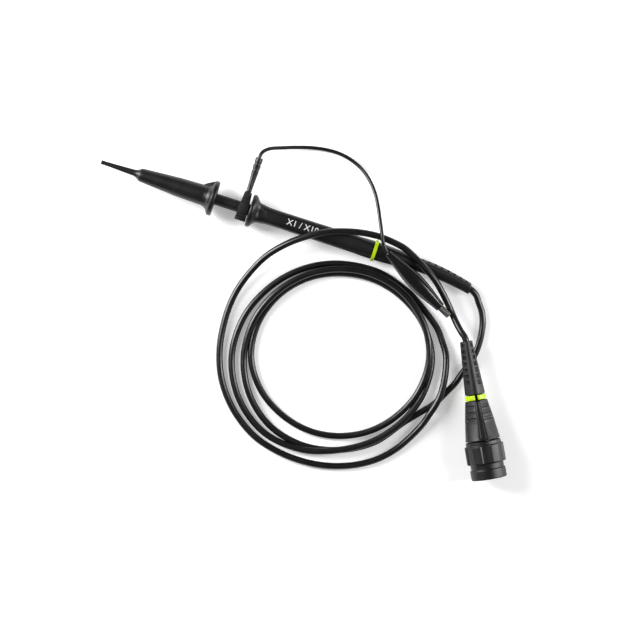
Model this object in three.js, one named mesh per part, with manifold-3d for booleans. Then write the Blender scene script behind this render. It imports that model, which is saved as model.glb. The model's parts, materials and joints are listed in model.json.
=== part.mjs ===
// Passive oscilloscope probe: spring-hook tip, probe body, ground lead with alligator clip,
// coiled coaxial cable and BNC plug with a compensation box. Millimetres, +Z up.
import * as THREE from "three";
import { mergeVertices } from "three/addons/utils/BufferGeometryUtils.js";
import Module from "manifold-3d";

const wasm = await Module();
wasm.setup();

// ---------------------------------------------------------------- driving dimensions, mm
const GAP = 0.3;
const DEG = Math.PI / 180;

// Probe: stations along its axis, measured from the nozzle's mouth.
const PROBE_LENGTH = 186;
const PROBE_TILT = 2.47 * DEG;
const NOZZLE_END = 17.3;
const CONE_START = 19.5;
const CONE_END = 38.5;
const FLARE_START = 51;
const FINGER_FLANGE = 54.8;
const SLEEVE_END = 57;
const COLLAR_START = 68.5;
const BODY_START = 73.9;
const BODY_FLANGE_RADIUS = 8;
const BODY_FLANGE_BACK = 75.2;
const BODY_FLARE_END = 82;
const MARKER_START = 136;
const MARKER_WIDTH = 1.6;
const BODY_END = 157;
const FINGER_FLANGE_RADIUS = 8.55;
const NECK_RADIUS = 2.8;
const GROUND_RING_RADIUS = 2.45;
const HOOK_WIRE_RADIUS = 0.25;
const SPRING_TURNS = 6;
const SPRING_START = 21.3;
const SPRING_END = 33.6;
const RELIEF_BEND = 3.4;

// Slide switch under the body.
const SWITCH_STATION = 104;
const SLIDER_LENGTH = 4;
const SWITCH_TRAVEL = 3;

// Ground lead.
const COLLAR_RADIUS = 5;
const LUG_REACH = 8;
const BOOT_END = 25.1;
const WIRE_RADIUS = 0.9;

// Alligator clip, along its own axis from the boot's tail to the jaws' tip.
const CLIP_LENGTH = 42;
const CLIP_TAIL = [50, 0.4, 12.5];
const CLIP_HEADING = -27.6 * DEG;
const CLIP_DROP = 0.095;
const CLIP_ROLL = 35 * DEG;
const CLIP_PIVOT = 21;
const PIN_RADIUS = 0.4;
const BOOT_SPLIT = 18.5;
const BOOT_FRONT = 36;

// Coaxial cable and its coil.
const CABLE_RADIUS = 1.6;
const CABLE_STEP = 9.5;
const COIL_TURN = 17.85 * DEG;
const COIL_HEIGHT = 6.4;
const COIL_OUTER = { centre: [40, -54.7], half: [49.7, 46.2] };
const COIL_INNER = { centre: [43.3, -52.4], half: [41, 37.4] };

// BNC end: stations along its axis, measured from the cable end of its strain relief.
const BNC_START = [98.4, -27.9, 9.35];
const BNC_HEADING = -62.5 * DEG;
const RELIEF_LENGTH = 23;
const BNC_MARKER_START = 26;
const BNC_MARKER_WIDTH = 2.3;
const BOX_START = 28.6;
const BOX_RIBS_END = 39.5;
const BOX_END = 47.5;
const GRIP_START = 48;
const BNC_END = 66.2;
const TRIMMER_STATION = 37.5;
const NUT_BORE = 4.95;

// Cable from the probe's strain relief to the coil.
const LEAD_OUT_ROUTE = [
  [94.2, -3.8, 3.2], [96.8, -5.4, 2.6], [99, -8.3, 2], [101.6, -11.7, 1.7], [103.6, -16.1, 1.65],
  [104.7, -21, 1.65], [105.2, -26.2, 1.65], [105, -31.8, 1.65], [103.9, -37.7, 1.65],
  [101.8, -43.1, 1.65], [100.1, -48.7, 1.65], [97.6, -53.6, 1.65], [94.7, -59.3, 1.65],
  [92.1, -63.2, 1.65], [90.2, -65.2, 1.65],
];

// Cable from the coil, once round outside it and over the probe, to the BNC end.
const OUTER_LOOP_ROUTE = [
  [81.3, -24, 1.7], [84.9, -27.2, 1.9], [88.1, -31.5, 2.5], [91, -35.8, 3.3], [92.8, -40.2, 4.2],
  [94.4, -47.4, 5], [95, -55, 5.15], [94.4, -60.4, 5.1], [93, -65.9, 4.4], [90.5, -73.8, 2.7],
  [84.2, -85.4, 1.65], [76.8, -93.8, 1.65], [68.6, -99.5, 1.65], [59.7, -103.4, 1.65],
  [50.4, -105.8, 1.65], [40.6, -106.7, 1.65], [30.3, -106.1, 1.65], [19.4, -103.6, 1.65],
  [11.1, -99.6, 1.65], [2.8, -93.4, 1.65], [-4.2, -85.6, 1.65], [-9.2, -77.1, 1.65],
  [-12.6, -67.1, 1.65], [-14.2, -56.6, 1.65], [-14.3, -45.8, 1.9], [-12.5, -35.6, 2.9],
  [-8.4, -25, 5], [-3.5, -16.8, 7.5], [4.1, -8.9, 10.5], [12.2, -2.9, 12.3], [18.6, 0.7, 12.6],
  [25.3, 3.4, 12.1], [34.6, 5.9, 11], [44.4, 6.9, 9.9], [54.8, 5.8, 9.2], [60.5, 3.8, 9.2],
  [66.5, 0.7, 9.6], [71.4, -2, 9.2], [76, -5.1, 8.3], [80.2, -8.8, 7.2], [84.2, -12.8, 6.1],
  [88.1, -17.1, 5.5], [91.7, -21.2, 6.7], [95.2, -24.6, 8.6], [97.1, -26.1, 9.2], [98, -27.2, 9.35],
];

// Ground wire from its boot to the alligator clip's tail.
const WIRE_ROUTE = [
  [-22.1, 25.7, 8.1], [-21.4, 28.4, 7.8], [-18.6, 31, 6.8], [-13.5, 33.2, 5], [-7, 35.7, 3],
  [0, 37.9, 1.5], [7.2, 39.2, 1], [14, 39.3, 1], [20.8, 37.8, 1.5], [26.8, 34.9, 2.9],
  [31.9, 30.6, 5], [35.9, 25.6, 7.4], [39.1, 19.9, 9.6], [41.5, 14.8, 11.3], [43.7, 10.1, 12.6],
  [45.6, 6, 13.1], [47.6, 2.8, 12.9], [49.4, 0.8, 12.6],
];

// ---------------------------------------------------------------- materials
function material(color, roughness, metalness = 0) {
  return new THREE.MeshStandardMaterial({ color, roughness, metalness });
}

const matteBlackAbs = () => material(0x17171a, 0.55);
const satinBlackPvc = () => material(0x1b1b1d, 0.45);
const glossBlackPvc = () => material(0x101012, 0.2);
const softBlackTpe = () => material(0x1d1d1f, 0.7);
const markerPlastic = () => material(0xd6e82a, 0.5);
const nickel = () => material(0xc9c8c2, 0.28, 1);
const springSteel = () => material(0xb4b6b8, 0.35, 1);
const goldPlate = () => material(0xd9b45a, 0.3, 1);
const ptfe = () => material(0xf2f2ee, 0.5);
const boardLaminate = () => material(0x1f5c37, 0.5);
const ceramicBody = () => material(0xb98a55, 0.6);
const siliconeRubber = () => material(0xa8432c, 0.6);

// ---------------------------------------------------------------- geometry helpers

// One welded, outward-facing triangle mesh that carries positions only.
function weld(geometry) {
  const bare = geometry.clone();
  bare.deleteAttribute("normal");
  bare.deleteAttribute("uv");
  const merged = mergeVertices(bare, 1e-4);
  const index = merged.index.array;
  const position = merged.attributes.position;
  const corners = [new THREE.Vector3(), new THREE.Vector3(), new THREE.Vector3()];
  const kept = [];
  let volume = 0;
  for (let i = 0; i < index.length; i += 3) {
    const [a, b, c] = [index[i], index[i + 1], index[i + 2]];
    if (a === b || b === c || c === a) continue;
    kept.push(a, b, c);
    corners.forEach((corner, k) => corner.fromBufferAttribute(position, index[i + k]));
    volume += corners[0].dot(corners[1].cross(corners[2]));
  }
  if (volume < 0) kept.reverse();
  merged.setIndex(kept);
  return merged;
}

function toSolid(geometry) {
  const welded = weld(geometry);
  return new wasm.Manifold(new wasm.Mesh({
    numProp: 3,
    vertProperties: Float32Array.from(welded.attributes.position.array),
    triVerts: Uint32Array.from(welded.index.array),
  }));
}

function toGeometry(solid) {
  const mesh = solid.getMesh();
  const geometry = new THREE.BufferGeometry();
  geometry.setAttribute("position", new THREE.BufferAttribute(mesh.vertProperties, 3));
  geometry.setIndex(new THREE.BufferAttribute(mesh.triVerts, 1));
  return geometry;
}

function cut(geometry, cutters) {
  return toGeometry(cutters.reduce((solid, cutter) => solid.subtract(toSolid(cutter)), toSolid(geometry)));
}

function join(geometries) {
  const [first, ...rest] = geometries.map(toSolid);
  return toGeometry(rest.reduce((solid, other) => solid.add(other), first));
}

// Turn an outline of [station, radius] points round the X axis.
function turned(outline, segments = 24) {
  const points = outline.map(([station, radius]) => new THREE.Vector2(radius, station));
  return new THREE.LatheGeometry(points, segments).rotateZ(-Math.PI / 2);
}

// A turned solid: the outline runs along the outside and is closed on the axis.
function turnedSolid(outer, segments) {
  const first = outer[0][0];
  const last = outer[outer.length - 1][0];
  return turned([[first, 0], ...outer, [last, 0]], segments);
}

// A turned tube: the outside runs forwards, the bore runs back, and the outline closes on itself.
function turnedTube(outer, bore, segments) {
  return turned([...outer, ...bore, outer[0]], segments);
}

function ring(start, end, outerRadius, innerRadius, segments) {
  return turnedTube(
    [[start, outerRadius], [end, outerRadius]],
    [[end, innerRadius], [start, innerRadius]],
    segments,
  );
}

function rod(start, end, radius, segments = 12) {
  return turnedSolid([[start, radius], [end, radius]], segments);
}

// A block given by its low and high corners.
function block(low, high) {
  const size = high.map((value, i) => value - low[i]);
  const middle = high.map((value, i) => (value + low[i]) / 2);
  return new THREE.BoxGeometry(...size).translate(...middle);
}

// An outline in the XZ plane, given as [x, z] points, extruded along Y from one side to the other.
function plateXZ(outline, fromY, toY) {
  const shape = new THREE.Shape(outline.map(([x, z]) => new THREE.Vector2(x, z)));
  const settings = { depth: toY - fromY, bevelEnabled: false };
  return new THREE.ExtrudeGeometry(shape, settings).rotateX(Math.PI / 2).translate(0, toY, 0);
}

function polygonSection(radius, sides) {
  const points = [];
  for (let i = 0; i < sides; i += 1) {
    const angle = (2 * Math.PI * (i + 0.5)) / sides;
    points.push(new THREE.Vector2(radius * Math.cos(angle), radius * Math.sin(angle)));
  }
  return new THREE.Shape(points);
}

function tubeAlong(curve, radius, steps, sides = 8) {
  const settings = { extrudePath: curve, steps, bevelEnabled: false };
  return new THREE.ExtrudeGeometry(polygonSection(radius, sides), settings);
}

function routeCurve(route) {
  return new THREE.CatmullRomCurve3(route.map((point) => new THREE.Vector3(...point)));
}

function cableAlong(route, radius, step) {
  const curve = routeCurve(route);
  return tubeAlong(curve, radius, Math.round(curve.getLength() / step));
}

// A helix round the X axis.
class Helix extends THREE.Curve {
  constructor(start, end, radius, turns) {
    super();
    Object.assign(this, { start, end, radius, turns });
  }

  getPoint(t, target = new THREE.Vector3()) {
    const angle = 2 * Math.PI * this.turns * t;
    const station = this.start + (this.end - this.start) * t;
    return target.set(station, this.radius * Math.cos(angle), this.radius * Math.sin(angle));
  }
}

// Bend a piece lying along X sideways: the shift grows with the square of the way along.
function bendAside(geometry, from, to, shift) {
  const position = geometry.attributes.position;
  for (let i = 0; i < position.count; i += 1) {
    const along = Math.max(0, (position.getX(i) - from) / (to - from));
    position.setY(i, position.getY(i) + shift * along * along);
  }
  return geometry;
}

function named(name, geometry, surface) {
  const mesh = new THREE.Mesh(weld(geometry), surface);
  mesh.name = name;
  return mesh;
}

// ---------------------------------------------------------------- spring-hook tip

function hookSleeve() {
  const outer = [
    [0, 1.1], [NOZZLE_END, 1.7], [18.4, 2.2], [19, 2.8], [CONE_START, 3.2], [CONE_END, 4.6],
    [FLARE_START, 4.95], [53.2, 5.8], [54.4, 7.5], [FINGER_FLANGE, FINGER_FLANGE_RADIUS - GAP],
    [55.2, FINGER_FLANGE_RADIUS], [56.6, FINGER_FLANGE_RADIUS], [SLEEVE_END, FINGER_FLANGE_RADIUS - GAP],
  ];
  const bore = [[SLEEVE_END, 3.6], [36.5, 3.6], [36.5, 2.85], [21, 2.85], [21, 1.1], [NOZZLE_END, 1], [0, 0.8]];
  const rib = new THREE.Shape([
    new THREE.Vector2(FLARE_START - 1.2, 4.2),
    new THREE.Vector2(FINGER_FLANGE + 0.4, 4.2),
    new THREE.Vector2(FINGER_FLANGE + 0.4, FINGER_FLANGE_RADIUS - GAP),
  ]);
  const ribPlate = new THREE.ExtrudeGeometry(rib, { depth: 1.6, bevelEnabled: false }).translate(0, 0, -0.8);
  return named("hook_sleeve", join([turnedTube(outer, bore, 24), ribPlate]), matteBlackAbs());
}

function hookCore() {
  const outer = [[28.4, 1.8], [34, 1.8], [34, 2.5], [44, 2.5], [44, 3.25], [55, 3.25]];
  const bore = [[55, 2.75], [45, 2.75], [45, 1.9], [38, 1.9], [38, 1.25], [28.4, 1.25]];
  return named("hook_core", turnedTube(outer, bore, 20), matteBlackAbs());
}

// The wire runs down the nozzle, turns round in its mouth and ends in a short return.
function hookWire() {
  const shaftY = -0.25;
  const bend = 0.3;
  const mouth = 1;
  const points = [new THREE.Vector3(28.4, shaftY, 0), new THREE.Vector3(15, shaftY, 0)];
  for (let i = 0; i <= 6; i += 1) {
    const angle = (Math.PI * i) / 6;
    points.push(new THREE.Vector3(mouth - bend * Math.sin(angle), shaftY + bend * (1 - Math.cos(angle)), 0));
  }
  points.push(new THREE.Vector3(mouth + 1.8, shaftY + 2 * bend, 0));
  const curve = new THREE.CatmullRomCurve3(points, false, "centripetal");
  return named("hook_wire", tubeAlong(curve, HOOK_WIRE_RADIUS, 32, 6), springSteel());
}

function hookContactSocket() {
  const outer = [[28.8, 0.95], [37.5, 0.95]];
  const bore = [[37.5, 0.65], [31, 0.65], [31, 0]];
  return named("hook_contact_socket", turned([[28.8, 0], ...outer, ...bore], 12), goldPlate());
}

function hookSpring() {
  const helix = new Helix(SPRING_START + GAP, SPRING_END, 2.3, SPRING_TURNS);
  return named("hook_spring", tubeAlong(helix, 0.22, SPRING_TURNS * 9, 5), springSteel());
}

// ---------------------------------------------------------------- probe body

function probeNeedle() {
  const outline = [[31.8, 0.1], [33, 0.4], [79.5, 0.4]];
  return named("probe_needle", turnedSolid(outline, 10), goldPlate());
}

function tipInsulator() {
  return named("tip_insulator", ring(38.3, 52.5, 1.6, 0.7, 16), ptfe());
}

function groundRing() {
  const outer = [[46, GROUND_RING_RADIUS], [56.2, GROUND_RING_RADIUS], [56.2, 1.9], [66, 1.9]];
  const bore = [[66, 1.3], [53, 1.3], [53, 1.9], [46, 1.9]];
  return named("ground_ring", turnedTube(outer, bore, 20), nickel());
}

function frontBarrel() {
  return named("front_barrel", ring(56.5, 79, NECK_RADIUS, 2.2, 20), matteBlackAbs());
}

function handleShell() {
  const groove = 4.15;
  const outer = [
    [BODY_START, 7.5], [74.3, BODY_FLANGE_RADIUS], [BODY_FLANGE_BACK, BODY_FLANGE_RADIUS],
    [75.6, 7.6], [76.6, 6.2], [78.6, 5], [BODY_FLARE_END, 4.15], [MARKER_START - GAP, 4.45],
    [MARKER_START - GAP, groove], [MARKER_START + MARKER_WIDTH + GAP, groove],
    [MARKER_START + MARKER_WIDTH + GAP, 4.45], [143, 4.25], [BODY_END, 3.3],
  ];
  const bore = [[BODY_END, 2.7], [146, 2.7], [143, 3.3], [80.5, 3.3], [80.5, 3.1], [BODY_START, 3.1]];
  const slotReach = (SLIDER_LENGTH + SWITCH_TRAVEL) / 2 + 0.5;
  const slot = block([SWITCH_STATION - slotReach, -1.5, -6], [SWITCH_STATION + slotReach, 1.5, -2]);
  return named("handle_shell", cut(turnedTube(outer, bore, 28), [slot]), matteBlackAbs());
}

function attenuatorBoard() {
  return named("attenuator_board", block([80.8, -2.6, -0.5], [128, 2.6, 0.5]), boardLaminate());
}

function inputResistor() {
  return named("input_resistor", rod(84, 91, 0.9, 12).translate(0, 0, 1.7), ceramicBody());
}

function compensationCapacitor() {
  return named("compensation_capacitor", block([94, -1.2, 0.8], [97.5, 1.2, 2]), ceramicBody());
}

function switchHousing() {
  const centre = SWITCH_STATION;
  const body = block([centre - 5, -1.9, -2], [centre + 5, 1.9, -0.8]);
  return named("switch_housing", body, matteBlackAbs());
}

// The slider rests at its X1 end and travels towards the cable.
function switchSlider() {
  const start = SWITCH_STATION - (SLIDER_LENGTH + SWITCH_TRAVEL) / 2;
  const plate = block([start, -1.2, -4.3], [start + SLIDER_LENGTH, 1.2, -2.3]);
  const ridges = [];
  for (let i = 0; i < 3; i += 1) {
    ridges.push(block([start + 0.5 + i * 1.2, -1.2, -4.8], [start + 1.1 + i * 1.2, 1.2, -4.2]));
  }
  return named("switch_slider", join([plate, ...ridges]), matteBlackAbs());
}

function markerRingProbe() {
  const outer = [[MARKER_START, 5], [136.3, 5.3], [137.3, 5.3], [MARKER_START + MARKER_WIDTH, 5]];
  const bore = [[MARKER_START + MARKER_WIDTH, 4.45], [MARKER_START, 4.45]];
  return named("marker_ring_probe", turnedTube(outer, bore, 28), markerPlastic());
}

// Soft relief with notches on its two sides, curved to where the cable leaves it.
function probeStrainRelief() {
  const start = BODY_END + GAP;
  const outer = [
    [151, 2.4], [start, 2.4], [start, 3.2], [165, 3], [172, 2.8], [179, 2.6],
    [PROBE_LENGTH - 0.4, 2.45], [PROBE_LENGTH, 2.2],
  ];
  const notches = [];
  for (let i = 0; i < 8; i += 1) {
    const station = 160 + i * 3.3;
    const side = i % 2 === 0 ? 1 : -1;
    const inner = 1.9 * side;
    const far = 4 * side;
    notches.push(block([station, Math.min(inner, far), -1.7], [station + 1.4, Math.max(inner, far), 1.7]));
  }
  const straight = cut(turnedSolid(outer, 20), notches);
  return named("probe_strain_relief", bendAside(straight, start, PROBE_LENGTH, -RELIEF_BEND), softBlackTpe());
}

function cableFerrule() {
  return named("cable_ferrule", ring(142, 150.6, 2.3, 1.7, 16), nickel());
}

// ---------------------------------------------------------------- ground lead

// A collar that snaps on the neck: open below its lug's opposite side, with two lips there.
function groundCollar() {
  const end = BODY_START - 0.4;
  const middle = (COLLAR_START + end) / 2;
  const hoop = ring(COLLAR_START, end, COLLAR_RADIUS, 3.7, 24);
  const lug = block([middle - 1.95, 4, -1.7], [middle + 1.95, LUG_REACH, 1.7]);
  const lips = [-1, 1].map((side) => {
    const inner = side * 0.9;
    const outer = side * 2.1;
    return block([COLLAR_START, -6.2, Math.min(inner, outer)], [end, -4, Math.max(inner, outer)]);
  });
  const mouth = block([COLLAR_START - 1, -8, -0.9], [end + 1, -2, 0.9]);
  return named("ground_collar", cut(join([hoop, lug, ...lips]), [mouth]), matteBlackAbs());
}

function groundCollarContact() {
  const hoop = ring(COLLAR_START + 0.6, BODY_START - 1, 3.45, 3.1, 20);
  const mouth = block([COLLAR_START, -8, -1.1], [BODY_START, -2, 1.1]);
  return named("ground_collar_contact", cut(hoop, [mouth]), nickel());
}

function groundLeadBoot() {
  const profile = [
    [LUG_REACH + GAP, 1.3], [12, 1.35], [16, 1.6], [18.5, 1.85], [18.5, 1.65], [20, 1.65], [20, 1.95],
    [21.5, 1.95], [21.5, 1.7], [23, 1.7], [23, 1.95], [BOOT_END, 1.9],
  ];
  const boot = turnedSolid(profile, 14).rotateZ(Math.PI / 2);
  return named("ground_lead_boot", boot.translate((COLLAR_START + BODY_START - 0.4) / 2, 0, 0), softBlackTpe());
}

function groundWire() {
  return named("ground_wire", cableAlong(WIRE_ROUTE, WIRE_RADIUS, 4.5), satinBlackPvc());
}

// ---------------------------------------------------------------- alligator clip

// Teeth along a jaw's meeting edge, as [x, z] points from one station to another.
function teeth(from, to, count, low, high) {
  const points = [];
  const pitch = (from - to) / count;
  for (let i = 0; i < count; i += 1) {
    points.push([from - i * pitch, low], [from - (i + 0.5) * pitch, high]);
  }
  return points;
}

// The same side wall on both sides of the clip, between two distances from its middle.
function sideWalls(outline, near, far) {
  return [plateXZ(outline, near, far), plateXZ(outline, -far, -near)];
}

function pinBore() {
  return new THREE.CylinderGeometry(PIN_RADIUS + 0.2, PIN_RADIUS + 0.2, 8, 12).translate(CLIP_PIVOT, 0, 0);
}

// The fixed jaw: a floor plate, two toothed walls with ears for the pin, and a crimp tail.
function clipFixedJaw() {
  const walls = sideWalls([
    [CLIP_LENGTH, -0.45], ...teeth(CLIP_LENGTH, 27, 9, -0.45, -0.12), [27, -0.3], [22.2, 1],
    [19.9, 1], [17.5, -0.9], [10, -1.1], [10, -1.9], [26, -1.9], [CLIP_LENGTH, -1.05],
  ], 0.75, 1.1);
  const floor = plateXZ([
    [10, -1.9], [26, -1.9], [CLIP_LENGTH, -1.05], [CLIP_LENGTH, -0.65], [26, -1.45], [10, -1.45],
  ], -1, 1);
  const tail = rod(6, 11, 0.8, 10).translate(0, 0, -0.75);
  return named("clip_fixed_jaw", cut(join([...walls, floor, tail]), [pinBore()]), nickel());
}

// The moving jaw: a roof plate, two walls outside the fixed ears, a toothed nose and a lever to squeeze.
function clipMovingJaw() {
  const walls = sideWalls([
    [28.2, 1.95], [25, 2.1], [14.5, 2.1], [14.5, 1.6], [18.8, 1.5], [19.6, -0.8], [22.4, -0.8], [25, 0.6],
    [28.2, 0.7],
  ], 1.35, 1.7);
  const roof = plateXZ([[14.5, 2.1], [25, 2.1], [28.2, 1.95], [28.2, 1.5], [25, 1.65], [14.5, 1.65]], -1.6, 1.6);
  const noseWalls = sideWalls([
    [27, 1.9], [27, 0.35], ...teeth(27, CLIP_LENGTH, 9, 0.35, 0.02), [CLIP_LENGTH, 0.35], [CLIP_LENGTH, 1.05],
    [28.2, 1.8],
  ], 0.75, 1.1);
  const noseRoof = plateXZ([[27, 1.9], [28.2, 1.8], [CLIP_LENGTH, 1.05], [CLIP_LENGTH, 0.65], [27, 1.5]], -1, 1);
  const jaw = join([...walls, roof, ...noseWalls, noseRoof]);
  return named("clip_moving_jaw", cut(jaw, [pinBore()]), nickel());
}

function clipPivotPin() {
  const pin = new THREE.CylinderGeometry(PIN_RADIUS, PIN_RADIUS, 4.2, 12).translate(CLIP_PIVOT, 0, 0);
  return named("clip_pivot_pin", pin, springSteel());
}

// Torsion spring: a ring round the pin with one leg under the lever and one on the floor.
function clipSpring() {
  const hoop = new THREE.Shape();
  hoop.absarc(0, 0, 1.15, 0, 2 * Math.PI);
  hoop.holes.push(new THREE.Path().absarc(0, 0, 0.7, 0, 2 * Math.PI));
  const settings = { depth: 1, bevelEnabled: false, curveSegments: 10 };
  const coil = new THREE.ExtrudeGeometry(hoop, settings).rotateX(Math.PI / 2).translate(CLIP_PIVOT, 0.5, 0);
  const upperLeg = block([CLIP_PIVOT - 1.7, -0.45, 0.8], [CLIP_PIVOT, -0.1, 1.1]);
  const lowerLeg = block([CLIP_PIVOT - 5, 0.1, -1.1], [CLIP_PIVOT, 0.45, -0.8]);
  return named("clip_spring", join([coil, upperLeg, lowerLeg]), springSteel());
}

// Outer shape of the PVC boot: a slim tail, widest near the pivot and narrow at the nose.
const BOOT_OUTLINE = [
  [0, 1.6], [3, 1.9], [7, 2.5], [11, 3.2], [15, 3.7], [BOOT_SPLIT, 3.9], [22, 3.85], [26, 3.5],
  [30, 2.95], [33, 2.6], [BOOT_FRONT, 2.35],
];
const BOOT_WALL = 0.5;

function bootBody() {
  const bore = BOOT_OUTLINE.map(([station, radius]) => [station, radius - BOOT_WALL]).reverse();
  return turnedTube(BOOT_OUTLINE, bore, 20);
}

// The boot's tail is a whole sleeve; ahead of the split only its lower half stays with the fixed jaw.
function clipBoot() {
  const upperFront = block([BOOT_SPLIT, -6, 0.1], [CLIP_LENGTH, 6, 6]);
  return named("clip_boot", cut(bootBody(), [upperFront]), glossBlackPvc());
}

// The flap's back edge slants, so that it clears the tail and the lower half as the jaw opens.
function clipBootFlap() {
  const kept = [
    [21, 0.4], [CLIP_LENGTH, 0.4], [CLIP_LENGTH, 6], [20.1, 6], [20.1, 4], [18.9, 1.3],
  ];
  const flap = toSolid(bootBody()).intersect(toSolid(plateXZ(kept, -6, 6)));
  return named("clip_boot_flap", toGeometry(flap), glossBlackPvc());
}

// ---------------------------------------------------------------- cable

function ellipse({ centre, half }) {
  const path = new THREE.Path();
  path.absellipse(centre[0], centre[1], half[0], half[1], 0, 2 * Math.PI, false, COIL_TURN);
  return path;
}

// The coiled turns as one ring: an oval outline with an off-centre oval hole.
function cableCoil() {
  const outline = new THREE.Shape(ellipse(COIL_OUTER).getPoints(24));
  outline.holes.push(new THREE.Path(ellipse(COIL_INNER).getPoints(24)));
  return named("cable_coil", new THREE.ExtrudeGeometry(outline, { depth: COIL_HEIGHT, bevelEnabled: false }),
    satinBlackPvc());
}

function cableLeadOut() {
  return named("cable_lead_out", cableAlong(LEAD_OUT_ROUTE, CABLE_RADIUS, CABLE_STEP), satinBlackPvc());
}

function cableOuterLoop() {
  return named("cable_outer_loop", cableAlong(OUTER_LOOP_ROUTE, CABLE_RADIUS, CABLE_STEP), satinBlackPvc());
}

// ---------------------------------------------------------------- BNC end

// Relief with two columns of notches above and two below.
function bncStrainRelief() {
  const outer = [
    [0, 2.4], [0.4, 2.7], [RELIEF_LENGTH, 4.35], [25.7, 4.4], [25.7, 3], [30.5, 3],
  ];
  const notches = [];
  for (let i = 0; i < 7; i += 1) {
    const station = 1.2 + i * 3.1;
    const depth = 1.9 + i * 0.22;
    for (const column of [-1, 1]) {
      const inner = column * 0.7;
      const far = column * 5;
      const [low, high] = [Math.min(inner, far), Math.max(inner, far)];
      notches.push(block([station, low, depth], [station + 1.5, high, 6]));
      notches.push(block([station, low, -6], [station + 1.5, high, -depth]));
    }
  }
  return named("bnc_strain_relief", cut(turnedSolid(outer, 20), notches), softBlackTpe());
}

// Split ring; its gap faces up, to the right of the middle.
function markerRingBnc() {
  const hoop = ring(BNC_MARKER_START, BNC_MARKER_START + BNC_MARKER_WIDTH, 5.1, 3.3, 24);
  const gap = block([BNC_MARKER_START - 1, -1, 2], [BOX_START + 1, 0.2, 6]);
  return named("marker_ring_bnc", cut(hoop, [gap]), markerPlastic());
}

function compBoxShell() {
  const outer = [[BOX_START, 4.8], [BOX_RIBS_END, 6.55], [BOX_END, 8.4]];
  const bore = [[BOX_END, 6.5], [42, 6.4], [BOX_RIBS_END, 5.4], [31.2, 3.8], [31.2, 3.3], [BOX_START, 3.3]];
  const cutters = [];
  for (let i = 0; i < 3; i += 1) {
    const station = 30.8 + i * 2.9;
    const depth = 4.5 + i * 0.42;
    for (const side of [-1, 1]) {
      const [low, high] = [Math.min(side * depth, side * 9), Math.max(side * depth, side * 9)];
      cutters.push(block([station, low, -2.5], [station + 1.1, high, 2.5]));
    }
  }
  cutters.push(new THREE.CylinderGeometry(2.4, 2.4, 6, 20).rotateX(Math.PI / 2).translate(TRIMMER_STATION, 0, -6));
  return named("comp_box_shell", cut(turnedTube(outer, bore, 28), cutters), matteBlackAbs());
}

function compBoard() {
  return named("comp_board", block([31.5, -3.2, -0.5], [42.6, 3.2, 0.5]), boardLaminate());
}

function trimmerBody() {
  const centre = TRIMMER_STATION;
  return named("trimmer_body", block([centre - 1.8, -1.8, -2.6], [centre + 1.8, 1.8, -0.8]), ceramicBody());
}

function trimmerRotor() {
  const disc = new THREE.CylinderGeometry(2, 2, 1.4, 20).rotateX(Math.PI / 2).translate(TRIMMER_STATION, 0, -3.6);
  const slot = block([TRIMMER_STATION - 3, -0.25, -5], [TRIMMER_STATION + 3, 0.25, -3.8]);
  return named("trimmer_rotor", cut(disc, [slot]), nickel());
}

function bncInnerShell() {
  const outer = [
    [43, 6.1], [47.8, 6.1], [47.8, 4], [49, 4], [49, 3.45], [50, 3.45], [50, 4], [53.4, 4],
    [53.4, 4.7], [54, 4.7], [54, 4], [64.5, 4],
  ];
  const bore = [[64.5, 3.5], [55, 3.5], [55, 2.6], [46, 2.6], [46, 1.4], [43, 1.4]];
  return named("bnc_inner_shell", turnedTube(outer, bore, 24), nickel());
}

function bncInsulator() {
  const outer = [[46.4, 2.3], [55.3, 2.3], [55.3, 3.2], [58.5, 3.2]];
  const bore = [[58.5, 1], [46.4, 1]];
  return named("bnc_insulator", turnedTube(outer, bore, 16), ptfe());
}

function bncCentrePin() {
  const outline = [[43.2, 0.68], [62.2, 0.68], [62.9, 0.4]];
  return named("bnc_centre_pin", turnedSolid(outline, 12), goldPlate());
}

function bncGasket() {
  return named("bnc_gasket", ring(54.3, 55.4, 4.7, 4.3, 20), siliconeRubber());
}

// Pressed nearly flat against the shell's shoulder, which leaves the nut its axial play.
function bncWaveWasher() {
  return named("bnc_wave_washer", ring(52.95, 53.3, 4.7, 4.3, 20), springSteel());
}

function bncThrustWasher() {
  return named("bnc_thrust_washer", ring(51.5, 52, 4.75, 4.3, 20), nickel());
}

// Coupling nut with an inward flange at its back and two spiral bayonet slots in its bore.
function bncCouplingSleeve() {
  const outer = [[50.3, 6.8], [65.5, 6.8]];
  const bore = [[65.5, NUT_BORE], [51.3, NUT_BORE], [51.3, 4.3], [50.3, 4.3]];
  const slots = [];
  for (const start of [0, Math.PI]) {
    for (let i = 0; i < 6; i += 1) {
      const step = i / 5;
      const piece = block([-1.2, 4.4, -1.1], [1.2, 6.1, 1.1]);
      slots.push(piece.translate(65.2 - 5 * step, 0, 0).rotateX(start + step * 80 * DEG));
    }
  }
  return named("bnc_coupling_sleeve", cut(turnedTube(outer, bore, 24), slots), nickel());
}

// Plastic grip over the nut, with eight finger grooves in its raised band.
function bncGrip() {
  const outer = [
    [GRIP_START, 8.2], [48.3, 8.5], [50, 8.5], [50.2, 9.3], [58.5, 9.3], [58.7, 7.9], [61.5, 7.9],
    [61.6, 8.3], [61.8, 8.5], [66, 8.5], [BNC_END, 8.3],
  ];
  const bore = [[BNC_END, 7.1], [50, 7.1], [50, 5], [GRIP_START, 5]];
  const grooves = [];
  for (let i = 0; i < 8; i += 1) {
    const groove = block([51, 8.6, -0.6], [58, 10, 0.6]);
    grooves.push(groove.rotateX((2 * Math.PI * (i + 0.5)) / 8));
  }
  return named("bnc_grip", cut(turnedTube(outer, bore, 32), grooves), matteBlackAbs());
}

function bncRetainingRing() {
  const hoop = ring(49.25, 49.75, 4.6, 3.7, 20);
  return named("bnc_retaining_ring", cut(hoop, [block([48, -1, 2], [51, 1, 6])]), springSteel());
}

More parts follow.
